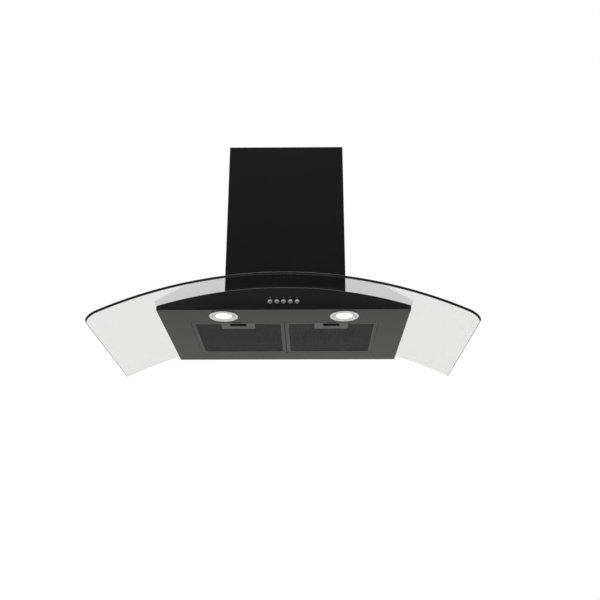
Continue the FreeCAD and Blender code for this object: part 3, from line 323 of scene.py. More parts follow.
# Edge of the pane, ground and polished: light that enters it is lost inside, so it looks nearly black.
# That darkness is painted here as an opaque near-black colour on the edge faces, a painted shade.
GLASS_EDGE_PAINTED_SHADE = Finish(
    "glass_edge_painted_shade", "toughened_glass", "#070908", "#0C100E",
    Pattern.BRUSHED, 0.8, 0.01, (0.12, 0.24), ior=1.52,
)
# Arris of the pane's upper edge in front, coloured pale: a painted highlight that shows as a fine pale
# line.
GLASS_ARRIS_PAINTED_HIGHLIGHT = Finish(
    "glass_arris_painted_highlight", "toughened_glass", "#C4C9C8", "#D4D8D7",
    Pattern.MOULDED, 0.8, 0.004, (0.3, 0.45), ior=1.52,
)
# EPDM strip and washers, extruded: matt black with a faint bloom.
RUBBER = Finish(
    "extruded_epdm_rubber", "black_rubber", "#1B1B1C", "#242425",
    Pattern.MOULDED, 1.2, 0.02, (0.62, 0.78), ior=1.52,
)
# Lip of the seal between panel and glass, soft and coloured pale grey: a painted highlight, a thin pale
# line along the panel's top.
SEAL_LIP_PAINTED_HIGHLIGHT = Finish(
    "silicone_lip_painted_highlight", "black_rubber", "#6A6A6B", "#747475",
    Pattern.MOULDED, 1.2, 0.01, (0.5, 0.65), ior=1.43,
)
# Hot-dip galvanised sheet: dull zinc crystals about 7 mm across, each with its own shade.
GALVANISED = Finish(
    "galvanised_sheet", "galvanised_steel", "#A9ACAE", "#B7BABC",
    Pattern.SPANGLE, 7.0, 0.002, (0.38, 0.48), metallic=1.0,
)
# Bright zinc plate on pressed screw heads, a little cloudy.
ZINC_PLATE = Finish(
    "bright_zinc_plate", "zinc_screws", "#B4B6B8", "#CFCFCC",
    Pattern.MOULDED, 1.0, 0.006, (0.22, 0.38), metallic=1.0,
)
# Chromed brass caps on the glass screws, mirror bright with a hint of polishing marks.
CHROME_CAP = Finish(
    "chromed_cap", "polished_cap", "#C9CBCE", "#D8DADB",
    Pattern.TURNED, 0.8, 0.002, (0.05, 0.12), metallic=1.0, grain=Axis.Z,
)
# Anodised aluminium strip, grey-black, folded after anodising, with a fine rolling grain. The dyed oxide
# hides most of the metal's shine.
ANODISED_RIM = Finish(
    "anodised_aluminium_rim", "aluminium_sheet", "#262627", "#2E2E2F",
    Pattern.BRUSHED, 0.8, 0.008, (0.36, 0.48), metallic=0.35, grain=Axis.Y,
)
# The same strip for the handle plate, brushed across, a little lighter.
ANODISED_PLATE = Finish(
    "anodised_aluminium_plate", "aluminium_sheet", "#494A4A", "#535354",
    Pattern.BRUSHED, 0.8, 0.008, (0.36, 0.46), metallic=0.45, grain=Axis.X,
)
# Expanded aluminium under dark grey lacquer, which lets some of the metal's shine through: each strand
# catches a little light on its twisted face.
LACQUERED_MESH = Finish(
    "lacquered_expanded_aluminium", "aluminium_mesh", "#363637", "#454546",
    Pattern.MOULDED, 1.5, 0.01, (0.34, 0.5), metallic=0.4,
)
# Glass-filled nylon, moulded, with a spark-eroded texture: dull black.
BLACK_NYLON = Finish(
    "moulded_black_nylon", "black_plastic", "#0C0C0D", "#111112",
    Pattern.MOULDED, 0.9, 0.015, (0.46, 0.62), ior=1.53,
)
# ABS, moulded, light grey, with a soft sheen.
GREY_ABS = Finish(
    "moulded_grey_abs", "grey_plastic", "#7C7D80", "#86878A",
    Pattern.MOULDED, 0.9, 0.012, (0.40, 0.55), ior=1.54,
)
# Polypropylene capacitor can, milky white, a little waxy.
WHITE_PP = Finish(
    "moulded_white_polypropylene", "white_plastic", "#D9D8D2", "#E3E2DD",
    Pattern.MOULDED, 1.4, 0.01, (0.36, 0.5), ior=1.49,
)
# Stoved enamel on the motor's pressed shell: mid grey, glossy over a slight orange peel.
ENAMEL = Finish(
    "stoved_motor_enamel", "motor_enamel", "#5C5E60", "#666869",
    Pattern.ORANGE_PEEL, 2.5, 0.015, (0.28, 0.4), coat=0.3,
)
# Ground bar: bright, with fine rings from the grinding wheel.
GROUND_STEEL = Finish(
    "ground_steel_bar", "ground_steel", "#B9BABB", "#C8C8C7",
    Pattern.TURNED, 0.9, 0.003, (0.2, 0.32), metallic=1.0, grain=Axis.Y,
)
# Spring strip with a black oxide, oiled: dark, with a faint metallic sheen along the rolling.
BLACK_STRIP = Finish(
    "black_oxide_spring_strip", "spring_steel", "#1A1A1C", "#222224",
    Pattern.BRUSHED, 0.6, 0.003, (0.34, 0.46), metallic=0.6,
)
# Drawn spring wire, blued a little by tempering: bright with a cool cast.
SPRING_STEEL = Finish(
    "tempered_spring_steel", "spring_steel", "#8D9096", "#A5A29B",
    Pattern.BRUSHED, 0.5, 0.003, (0.24, 0.36), metallic=1.0,
)
# Stainless ring, brushed on a lathe: the rings spread highlights across them.
SATIN_RING = Finish(
    "satin_stainless_ring", "lamp_ring_steel", "#D7D7D6", "#E3E3E2",
    Pattern.TURNED, 1.1, 0.004, (0.28, 0.4), metallic=1.0, grain=Axis.Z,
)
# Opal acrylic over a lit lamp, with small moulded prisms: an even warm-white glow.
OPAL_LENS = Finish(
    "lit_opal_acrylic", "frosted_lens", "#FFFEFA", "#FFFEFA",
    Pattern.SPANGLE, 2.5, 0.05, (0.3, 0.45), ior=1.49, glow=1.15,
)
# ABS caps with a vacuum-metallised silver coat, turned rings from the mould.
SILVER_CAP = Finish(
    "metallised_button_cap", "button_silver", "#A9AAAC", "#BFC0C1",
    Pattern.TURNED, 0.9, 0.004, (0.18, 0.28), metallic=1.0, grain=Axis.Z,
)
# PVC sheath, extruded: light grey and satin.
PVC_SHEATH = Finish(
    "extruded_pvc_sheath", "lead_sheath", "#A2A3A5", "#B0B1B2",
    Pattern.MOULDED, 1.5, 0.01, (0.38, 0.5), ior=1.53,
)
# Pad-printed ink, matt light grey.
PRINT_INK = Finish(
    "pad_printed_ink", "grey_plastic", "#A6A6A6", "#B0B0B0",
    Pattern.MOULDED, 0.6, 0.004, (0.55, 0.7),
)
GLASS = ClearGlass()


# ---- Mesh building ----


@dataclass
class Solid:
    """Corners and faces collected for one piece, in metres."""

    points: list[Vector] = field(default_factory=list)
    faces: list[tuple[int, ...]] = field(default_factory=list)
    skins: list[int] = field(default_factory=list)

    def add_points(self, points: Iterable[Vector]) -> list[int]:
        """Add corners.

        Args:
            points: Their places.

        Returns:
            Their numbers.
        """
        start = len(self.points)
        self.points.extend(points)
        return list(range(start, len(self.points)))

    def add_face(self, corners: Sequence[int], skin: int = 0) -> None:
        """Add one face with the number of its material."""
        self.faces.append(tuple(corners))
        self.skins.append(skin)

    def bridge(
        self, first: Sequence[int], second: Sequence[int], closed: bool = True, skin: int = 0
    ) -> None:
        """Join two rows of corners with a band of quads.

        Args:
            first: Corners of one row.
            second: As many corners of the next row.
            closed: Whether each row goes all the way round.
            skin: Number of the band's material.
        """
        count = len(first)
        for i in range(count if closed else count - 1):
            j = (i + 1) % count
            self.add_face((first[i], first[j], second[j], second[i]), skin)

    def drop_unused(self) -> None:
        """Leave out corners that no face uses."""
        used = sorted({corner for face in self.faces for corner in face})
        place = {corner: i for i, corner in enumerate(used)}
        self.points = [self.points[corner] for corner in used]
        self.faces = [tuple(place[corner] for corner in face) for face in self.faces]

    def loft(self, rows: Sequence[Sequence[Vector]], closed: bool = False) -> None:
        """Skin a tube through rows of corners.

        Args:
            rows: Outlines with the same number of corners.
            closed: Whether the last row meets the first. If not, both ends are capped.
        """
        rings = [self.add_points(row) for row in rows]
        for near, far in zip(rings, rings[1:]):
            self.bridge(near, far)
        if closed:
            self.bridge(rings[-1], rings[0])
        else:
            self.add_face(tuple(reversed(rings[0])))
            self.add_face(rings[-1])

    def turn(self, profile: Profile, steps: int = 64) -> None:
        """Revolve an outline about Z.

        Args:
            profile: Radius and height of each corner, closed on itself or ending on the axis.
            steps: Number of flats round the axis.
        """
        angles = [2 * math.pi * i / steps for i in range(steps)]
        rings = []
        for radius, height in profile:
            if radius == 0:
                rings.append(self.add_points([Vector((0, 0, height))]) * steps)
                continue
            ring = [Vector((radius * math.cos(a), radius * math.sin(a), height)) for a in angles]
            rings.append(self.add_points(ring))
        on_axis = profile[0][0] == 0
        pairs = zip(rings, rings[1:] + ([] if on_axis else rings[:1]))
        for near, far in pairs:
            for i in range(steps):
                j = (i + 1) % steps
                corners = tuple(dict.fromkeys((near[i], near[j], far[j], far[i])))
                if len(corners) > 2:
                    self.add_face(corners)

    def piece(
        self,
        name: str,
        body: str,
        finishes: Sequence[AnyFinish],
        replaces: Sequence[str] = (),
        place: Optional[Matrix] = None,
        edge: float = 0.0,
    ) -> bpy.types.Object:
        """Turn the solid into a piece of the hood.

        Args:
            name: Name of the piece.
            body: CAD body that it rides on.
            finishes: Materials, in the order of the faces' skin numbers.
            replaces: CAD nodes that it stands for.
            place: Where it sits.
            edge: Radius of its rounded edges.

        Returns:
            The new object.
        """
        mesh = bpy.data.meshes.new(name)
        mesh.from_pydata([tuple(p) for p in self.points], [], self.faces)
        mesh.polygons.foreach_set("material_index", self.skins)
        for finish in finishes:
            mesh.materials.append(finish.build())
        mesh.validate()
        mesh.shade_smooth()
        mesh.set_sharp_from_angle(angle=SHARP_ANGLE)
        made = bpy.data.objects.new(name, mesh)
        bpy.context.scene.collection.objects.link(made)
        made.matrix_world = place or Matrix.Identity(4)
        if edge:
            round_edges(made, edge)
        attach(made, body)
        if replaces:
            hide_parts(*replaces)
        log.info("%s: %d corners, rides on %s", name, len(self.points), body)
        return made


def round_edges(target: bpy.types.Object, radius: float) -> None:
    """Round a piece's edges, and keep its flats flat.

    Args:
        target: The piece.
        radius: Radius of the rounded edges.
    """
    bevel = target.modifiers.new("rounded", "BEVEL")
    bevel.width = radius
    bevel.segments = 2
    bevel.limit_method = "ANGLE"
    bevel.angle_limit = SHARP_ANGLE
    flats = target.modifiers.new("flats", "WEIGHTED_NORMAL")
    flats.keep_sharp = False


def dress(node: str, finish: AnyFinish, edge: float = 0.0) -> None:
    """Give a CAD node its material, and soft edges where they are asked for.

    Args:
        node: Name of the CAD node.
        finish: Its material.
        edge: Radius of its rounded edges, or nothing to leave them sharp.
    """
    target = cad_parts[node]
    target.data.materials.clear()
    target.data.materials.append(finish.build())
    if edge:
        weld = target.modifiers.new("weld", "WELD")
        weld.merge_threshold = WELD_REACH
        planar = target.modifiers.new("planar", "DECIMATE")
        planar.decimate_type = "DISSOLVE"
        planar.angle_limit = FLAT_ANGLE
        round_edges(target, edge)
    log.info("%s: %s", node, finish.name)


def dress_all(nodes: Iterable[str], finish: AnyFinish, edge: float = 0.0) -> None:
    """Dress several CAD nodes alike, with soft edges where they are asked for."""
    for node in nodes:
        dress(node, finish, edge)


def cut(target: bpy.types.Object, tool: Solid) -> None:
    """Cut a shape out of a piece for good.

    Args:
        target: The piece, which has its own mesh.
        tool: What is taken away.
    """
    mesh = bpy.data.meshes.new("cutter")
    mesh.from_pydata([tuple(p) for p in tool.points], [], tool.faces)
    cutter = bpy.data.objects.new("cutter", mesh)
    bpy.context.scene.collection.objects.link(cutter)
    step = target.modifiers.new("cut", "BOOLEAN")
    step.operation = "DIFFERENCE"
    step.solver = "EXACT"
    step.object = cutter
    bpy.context.view_layer.update()
    shown = target.evaluated_get(bpy.context.evaluated_depsgraph_get())
    result = bpy.data.meshes.new_from_object(shown)
    target.modifiers.remove(step)
    target.data = result
    result.set_sharp_from_angle(angle=SHARP_ANGLE)
    bpy.data.objects.remove(cutter)


def arc(radius: float, start: float, end: float, steps: int) -> list[tuple[float, float]]:
    """Draw an arc about the origin.

    Args:
        radius: Its radius.
        start: Angle of its first point in degrees.
        end: Angle of its last point in degrees.
        steps: Number of straight runs.

    Returns:
        Its points.
    """
    angles = [math.radians(start + (end - start) * i / steps) for i in range(steps + 1)]
    return [(radius * math.cos(a), radius * math.sin(a)) for a in angles]


# ---- Glass canopy ----


@dataclass
class GlassCanopy:
    """Bent pane with its rubber strip and screws."""

    thickness: float = 0.006
    bend_radius: float = 1.0
    corner_radius: float = 0.036
    notch_radius: float = 0.008
    notch_half: float = 0.149
    notch_front: float = -0.266
    upper_arris: float = 0.00035
    lower_arris: float = 0.0012
    seal_depth: float = 0.003
    seal_height: float = 0.0011
    seal_setback: float = 0.0003
    notch_steps: int = 6
    corner_steps: int = 10
    wing_steps: int = 26
    middle_steps: int = 30
    front_rows: int = 10
    rear_rows: int = 8

    def __post_init__(self) -> None:
        """Take the pane's place from its CAD node."""
        low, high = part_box("glass_canopy")
        self.front, self.rear = low.y, high.y
        self.top_radius = self.bend_radius + self.thickness
        self.axis_z = high.z - self.top_radius
        self.half_angle = math.asin(high.x / self.top_radius)

    def point(self, radius: float, angle: float, y: float) -> Vector:
        """Point at an angle from the top of the arch."""
        return Vector((radius * math.sin(angle), y, self.axis_z + radius * math.cos(angle)))

    def height(self, x: float) -> float:
        """Height of the pane's upper face at a distance from mid-width."""
        return self.axis_z + math.sqrt(self.top_radius**2 - x**2)

    def wing(self, inset: float) -> list[tuple[float, float]]:
        """Columns of the right wing, from the notch outwards.

        Args:
            inset: How far the outline is drawn in.

        Returns:
            The angle of each column, and where its front edge is.
        """
        notch_angle = self.notch_half / self.top_radius
        corner_angle = self.half_angle - self.corner_radius / self.top_radius
        span = corner_angle - notch_angle
        front = self.front + inset
        places = [(notch_angle + span * i / self.wing_steps, front) for i in range(self.wing_steps)]
        for along, up in arc(self.corner_radius - inset, 90, 0, self.corner_steps):
            y = self.front + self.corner_radius - up
            places.append((corner_angle + along / self.top_radius, y))
        return places

    def middle(self) -> list[tuple[float, float]]:
        """Columns in front of the notch, from left to right.

        Returns:
            The angle of each column, and where the notch starts behind it.
        """
        flat = self.notch_half - self.notch_radius
        shoulder = self.notch_front + self.notch_radius
        turn = arc(self.notch_radius, 90, 0, self.notch_steps)
        right = [(flat + along, shoulder - up) for along, up in turn][1:-1]
        left = [(-x, y) for x, y in reversed(right)]
        shares = [2 * i / self.middle_steps - 1 for i in range(self.middle_steps + 1)]
        level = [(flat * share, self.notch_front) for share in shares]
        return [(x / self.top_radius, y) for x, y in left + level + right]

    def layer(self, solid: Solid, radius: float, inset: float) -> list[list[int]]:
        """Add the corners of one face of the pane.

        Args:
            solid: The pane.
            radius: Radius that the face is bent to.
            inset: How far its outline is drawn in.

        Returns:
            Columns of corner numbers from left to right, each from front to rear.
        """
        shoulder = self.notch_front + self.notch_radius
        right = [(angle, front, shoulder, self.rear) for angle, front in self.wing(inset)]
        left = [(-angle, *rest) for angle, *rest in reversed(right)]
        inner = [(angle, self.front + inset, notch, None) for angle, notch in self.middle()]
        columns = []
        for angle, front, turn, rear in left + inner + right:
            ys = [front + (turn - front) * j / self.front_rows for j in range(self.front_rows + 1)]
            if rear is not None:
                run = rear - turn
                ys += [turn + run * (j + 1) / self.rear_rows for j in range(self.rear_rows)]
            columns.append(solid.add_points(self.point(radius, angle, y) for y in ys))
        return columns

    def pane(self) -> None:
        """Build the pane: clear faces and rear edge, the other edges painted near black as a painted
        shade, and a pale upper arris in front that is a painted highlight.
        """
        solid = Solid()
        over = self.layer(solid, self.top_radius, self.upper_arris)
        rim_over = self.layer(solid, self.top_radius - self.upper_arris, 0)
        rim_under = self.layer(solid, self.bend_radius + self.lower_arris, 0)
        under = self.layer(solid, self.bend_radius, self.lower_arris)
        last = len(over) - 1
        wing_end = self.front_rows + self.rear_rows
        for i in range(last):
            rows = min(len(over[i]), len(over[i + 1])) - 1
            for j in range(rows):
                solid.add_face((over[i][j], over[i + 1][j], over[i + 1][j + 1], over[i][j + 1]))
                solid.add_face((under[i][j], under[i][j + 1], under[i + 1][j + 1], under[i + 1][j]))
            skin = 0 if rows == wing_end else 1
            rear = (over[i][rows], over[i + 1][rows], under[i + 1][rows], under[i][rows])
            solid.add_face(rear, skin)
        outline = [(0, j) for j in range(wing_end, 0, -1)]
        outline += [(i, 0) for i in range(last + 1)]
        outline += [(last, j) for j in range(1, wing_end + 1)]
        rims = [[face[i][j] for i, j in outline] for face in (over, rim_over, rim_under, under)]
        for upper, lower in zip(rims[1:], rims[2:]):
            solid.bridge(lower, upper, closed=False, skin=1)
        left = wing_end + self.corner_steps
        right = wing_end + last - self.corner_steps
        # The front stretch of the upper arris gets the painted highlight; its ends and the other edges
        # get the painted dark shade.
        for start, end, skin in ((0, left, 1), (left, right, 2), (right, len(outline) - 1, 1)):
            stretch = slice(start, end + 1)
            solid.bridge(rims[1][stretch], rims[0][stretch], closed=False, skin=skin)
        solid.add_face([rim[0] for rim in rims[::-1]])
        solid.add_face([rim[-1] for rim in rims])
        long = [i for i in range(1, last) if len(over[i]) > self.front_rows + 1]
        sides = [i for i in long if not len(over[i - 1]) == len(over[i]) == len(over[i + 1])]
        for i, way in zip(sides, (1, -1)):
            for j in range(self.front_rows, wing_end):
                corners = (over[i][j], under[i][j], under[i][j + 1], over[i][j + 1])
                solid.add_face(corners[::way], 1)
        solid.drop_unused()
        finishes = (GLASS, GLASS_EDGE_PAINTED_SHADE, GLASS_ARRIS_PAINTED_HIGHLIGHT)
        solid.piece("glass_pane", "hood", finishes, ("glass_canopy",))

    def seal_lip(self) -> None:
        """Lay the seal's lip in the gap between the front panel and the pane; its pale grey is a painted
        highlight along the panel's top.
        """
        low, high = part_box("front_panel")
        spare = self.bend_radius + self.axis_z - high.z - self.seal_height
        top = self.bend_radius - spare / 2
        bottom = top - self.seal_height
        reach = math.asin(high.x / self.bend_radius)
        front = low.y + self.seal_setback
        rear = front + self.seal_depth
        corners = ((top, front), (bottom, front), (bottom, rear), (top, rear))
        rows = []
        for i in range(self.middle_steps + 1):
            angle = reach * (2 * i / self.middle_steps - 1)
            rows.append([self.point(radius, angle, y) for radius, y in corners])
        solid = Solid()
        solid.loft(rows)
        solid.piece("glass_seal_lip_painted_highlight", "hood", (SEAL_LIP_PAINTED_HIGHLIGHT,))

    def build(self) -> None:
        """Build the pane and its seal, and dress its strip and screws."""
        self.pane()
        self.seal_lip()
        dress("glass_gasket", RUBBER)
        dress("glass_screws", CHROME_CAP)


# ---- Chimney ----


@dataclass
class Chimney:
    """Outer shell on the glass, inner shell that slides up, its strap and clips."""

    glass: GlassCanopy
    sheet: float = 0.001
    flange: float = 0.015
    bend: float = 0.002
    bend_steps: int = 6
    foot_steps: int = 28
    louvre_length: float = 0.120
    louvre_height: float = 0.004
    louvre_pitch: float = 0.012
    louvre_count: int = 5
    louvre_top_margin: float = 0.030
    louvre_steps: int = 6

    def path(self, low: Vector, high: Vector) -> list[tuple[Vector, Vector]]:
        """Outline of a shell in plan, from one rear flange round to the other.

        Args:
            low: Lowest corner of the shell.
            high: Highest corner of the shell.

        Returns:
            Each point with the direction that points out of the shell.
        """
        r = self.bend
        trace = []
        rear_left = Vector((low.x + r, high.y - r))
        front_left = Vector((low.x + r, low.y + r))
        trace.append((Vector((low.x + self.flange, high.y)), Vector((0, 1))))
        for centre, start in ((rear_left, 90), (front_left, 180)):
            for x, y in arc(1.0, start, start + 90, self.bend_steps):
                trace.append((centre + Vector((x, y)) * r, Vector((x, y))))
        span = -2 * front_left.x
        for i in range(1, self.foot_steps):
            x = front_left.x + span * i / self.foot_steps
            trace.append((Vector((x, low.y)), Vector((0, -1))))
        middle = len(trace) - (self.foot_steps - 1)
        for point, out in reversed(trace[:middle]):
            trace.append((Vector((-point.x, point.y)), Vector((-out.x, out.y))))
        return trace

    def shell(
        self, node: str, name: str, body: str, foot: Optional[Callable[[float], float]]
    ) -> bpy.types.Object:
        """Build one folded shell.

        Args:
            node: CAD node that gives its size, and that it stands for.
            name: Name of the piece.
            body: Body that it rides on.
            foot: Height of its foot at a distance from mid-width, or None for a level foot.

        Returns:
            The shell.
        """
        low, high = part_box(node)
        rows = []
        for point, out in self.path(low, high):
            within = point - out * self.sheet
            row = []
            for at in (point, within):
                z = foot(at.x) if foot else low.z
                row.append(Vector((at.x, at.y, z)))
            row += [Vector((within.x, within.y, high.z)), Vector((point.x, point.y, high.z))]
            rows.append(row)
        solid = Solid()
        solid.loft(rows)
        return solid.piece(name, body, (POWDER_COAT,), (node,))

    def louvres(self) -> Solid:
        """Shape the slots with round ends that go through both sides of the inner shell.

        Returns:
            What is cut away.
        """
        low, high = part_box("chimney_upper")
        chamber_low, chamber_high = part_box("motor_chamber")
        middle = (chamber_low.y + chamber_high.y) / 2
        r = self.louvre_height / 2
        reach = self.louvre_length / 2 - r
        ends = [(y + reach, h) for y, h in arc(r, -90, 90, self.louvre_steps)]
        ends += [(y - reach, h) for y, h in arc(r, 90, 270, self.louvre_steps)]
        sides = (low.x - self.flange, high.x + self.flange)
        solid = Solid()
        for step in range(self.louvre_count):
            z = high.z - self.louvre_top_margin - step * self.louvre_pitch - r
            solid.loft([[Vector((x, middle + y, z + h)) for y, h in ends] for x in sides])
        return solid

    def build(self) -> None:
        """Build both shells, and dress the strap and clips."""
        self.shell("chimney_lower", "chimney_outer_shell", "hood", self.glass.height)
        inner = self.shell("chimney_upper", "chimney_inner_shell", "upper_chimney", None)
        cut(inner, self.louvres())
        dress_all(("chimney_bracket", "chimney_clips"), GALVANISED)


# ---- Canopy body ----


@dataclass
class CanopyBody:
    """Pressed steel pan, front, rear and top, with their screws and the wall bracket."""

    press_edge: float = 0.0004

    def build(self) -> None:
        """Dress the pressings."""
        pressings = ("bottom_pan", "front_panel", "rear_panel", "top_cover")
        dress_all(pressings, POWDER_COAT, self.press_edge)
        dress("body_screws", ZINC_PLATE)
        dress("wall_bracket", GALVANISED, self.press_edge)


# ---- Push buttons ----


class Mark(Enum):
    """Plain printed marks over the buttons, as strokes in millimetres."""

    POWER = "power"
    LOW = "low"
    MEDIUM = "medium"
    HIGH = "high"
    LIGHT = "light"

    def strokes(self) -> list[list[tuple[float, float]]]:
        """Draw the mark about its own middle: an open ring and a line, a bulb, or one to three bars.

        Returns:
            Its lines, in millimetres.
        """
        if self is Mark.POWER:
            return [arc(1.5, 125, 415, MARK_STEPS), [(0, 0.3), (0, 2.0)]]
        if self is Mark.LIGHT:
            return [arc(1.3, -60, 240, MARK_STEPS), [(-0.6, -1.9), (0.6, -1.9)]]
        count = (Mark.LOW, Mark.MEDIUM, Mark.HIGH).index(self) + 1
        places = [BAR_PITCH * (i - (count - 1) / 2) for i in range(count)]
        return [[(x, -BAR_HALF), (x, BAR_HALF)] for x in places]


@dataclass
class PushButtons:
    """Five domed caps in a row, each with a mark over it."""

    cap_radius: float = 0.0055
    stem_radius: float = 0.003
    dome_radius: float = 0.010
    edge_round: float = 0.0006
    panel_sheet: float = 0.0012
    panel_gap: float = 0.0044
    collar: float = 0.0012
    mark_rise: float = 0.011
    stroke_width_mm: float = 0.45
    ink: float = 0.00006
    dome_steps: int = 10
    edge_steps: int = 4
    round_steps: int = 40

    def profile(self, length: float, collar_radius: float) -> list[tuple[float, float]]:
        """Half outline of a button, from its tip to the end of its stem.

        Args:
            length: From tip to stem end.
            collar_radius: Radius of the collar behind the panel.

        Returns:
            Radius and height of each corner, with the tip at zero.
        """
        rim = self.cap_radius - self.edge_round
        lean = math.degrees(math.asin(rim / self.dome_radius))
        bulge = arc(self.dome_radius, -90, lean - 90, self.dome_steps)
        dome = [(x, y + self.dome_radius) for x, y in bulge]
        outline = [(0.0, 0.0)] + dome[1:]
        drop = dome[-1][1]
        turn = arc(self.edge_round, lean - 90, 0, self.edge_steps)
        for x, y in turn[1:]:
            outline.append((rim + x, drop + y - turn[0][1]))
        back = self.panel_gap
        outline += [
            (self.cap_radius, back),
            (collar_radius, back),
            (collar_radius, back + self.collar),
            (self.stem_radius, back + self.collar),
            (self.stem_radius, length),
            (0.0, length),
        ]
        return outline

    def mark(self, which: Mark, x: float, z: float, front: float) -> None:
        """Print a mark on the panel.

        Args:
            which: The mark.
            x: Its middle along the panel.
            z: Its middle in height.
            front: The panel's face.
        """
        solid = Solid()
        half = self.stroke_width_mm / 2
        for line in which.strokes():
            rows = []
            for i, (across, up) in enumerate(line):
                before, after = line[max(i - 1, 0)], line[min(i + 1, len(line) - 1)]
                way = Vector((after[0] - before[0], after[1] - before[1])).normalized()
                side = Vector((-way.y, way.x)) * half
                row = []
                for hand, depth in ((1, 0.0), (-1, 0.0), (-1, -self.ink), (1, -self.ink)):
                    aside = (across + hand * side.x) * MM
                    above = (up + hand * side.y) * MM
                    row.append(Vector((x + aside, front + depth, z + above)))
                rows.append(row)
            solid.loft(rows)
        solid.piece(f"mark_{which.value}", "hood", (PRINT_INK,))

    def build(self) -> None:
        """Build the caps and marks."""
        panel_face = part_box("bottom_pan")[0].y - self.panel_sheet
        turned = Matrix.Rotation(math.radians(-90), 4, "X")
        for which in Mark:
            node = f"button_{which.value}"
            low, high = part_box(node)
            middle = (low + high) / 2
            solid = Solid()
            solid.turn(self.profile(high.y - low.y, (high.x - low.x) / 2), self.round_steps)
            place = Matrix.Translation((middle.x, low.y, middle.z)) @ turned
            solid.piece(f"{node}_cap", f"push_{which.value}", (SILVER_CAP,), (node,), place)
            self.mark(which, middle.x, middle.z + self.mark_rise, panel_face)


# ---- Lamps ----


@dataclass
class Lamps:
    """Two lit lamps: a satin ring with an inner step, an opal lens, a can and screws."""

    edge_round: float = 0.0010
    step_radius: float = 0.0285
    step_depth: float = 0.0005
    step_blend: float = 0.0004
    step_dip: float = 0.0001
    mouth_radius: float = 0.0225
    mouth_round: float = 0.0003
    mouth_drop: float = 0.0002
    mouth_taper: float = 0.0028
    lens_inset: float = 0.0030
    lens_bulge: float = 0.0010
    edge_steps: int = 5
    lens_rings: int = 8
    round_steps: int = 96

    def ring(self, side: str) -> None:
        """Turn the ring of one lamp.

        Args:
            side: Which lamp.
        """
        node = f"lamp_bezel_{side}"
        low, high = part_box(node)
        middle = (low + high) / 2
        radius = (high.x - low.x) / 2
        face = low.z - high.z
        r = self.edge_round
        corner = [(radius - r + x, face + r + y) for x, y in arc(r, 0, -90, self.edge_steps)]
        inner = face + self.step_depth
        outline = [(radius, 0.0)] + corner
        outline += [
            (self.step_radius + self.step_blend, face),
            (self.step_radius, inner - self.step_dip),
            (self.step_radius - self.step_blend, inner),
            (self.mouth_radius + self.mouth_round, inner),
            (self.mouth_radius, inner + self.mouth_drop),
            (self.mouth_radius - self.mouth_taper, 0.0),
        ]
        solid = Solid()
        solid.turn(outline, self.round_steps)
        place = Matrix.Translation((middle.x, middle.y, high.z))
        solid.piece(f"lamp_ring_{side}", "hood", (SATIN_RING,), (node,), place)

    def lens(self, side: str) -> None:
        """Turn the lens of one lamp, slightly domed.

        Args:
            side: Which lamp.
        """
        node = f"lamp_lens_{side}"
        low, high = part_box(node)
        middle = (low + high) / 2
        radius = (high.x - low.x) / 2
        visible = self.mouth_radius - self.lens_inset
        shares = [i / self.lens_rings for i in range(self.lens_rings + 1)]
        outline = [(visible * s, -self.lens_bulge * (1 - s * s)) for s in shares]
        outline += [(radius, 0.0), (radius, high.z - low.z), (0.0, high.z - low.z)]
        solid = Solid()
        solid.turn(outline, self.round_steps)
        place = Matrix.Translation((middle.x, middle.y, low.z))
        solid.piece(f"lamp_opal_{side}", "hood", (OPAL_LENS,), (node,), place)

    def build(self) -> None:
        """Build both lamps, and dress their cans and screws."""
        for side in SIDES:
            self.ring(side)
            self.lens(side)
        dress("lamp_housings", GALVANISED)
        dress("lamp_screws", ZINC_PLATE)


# ---- Filters ----


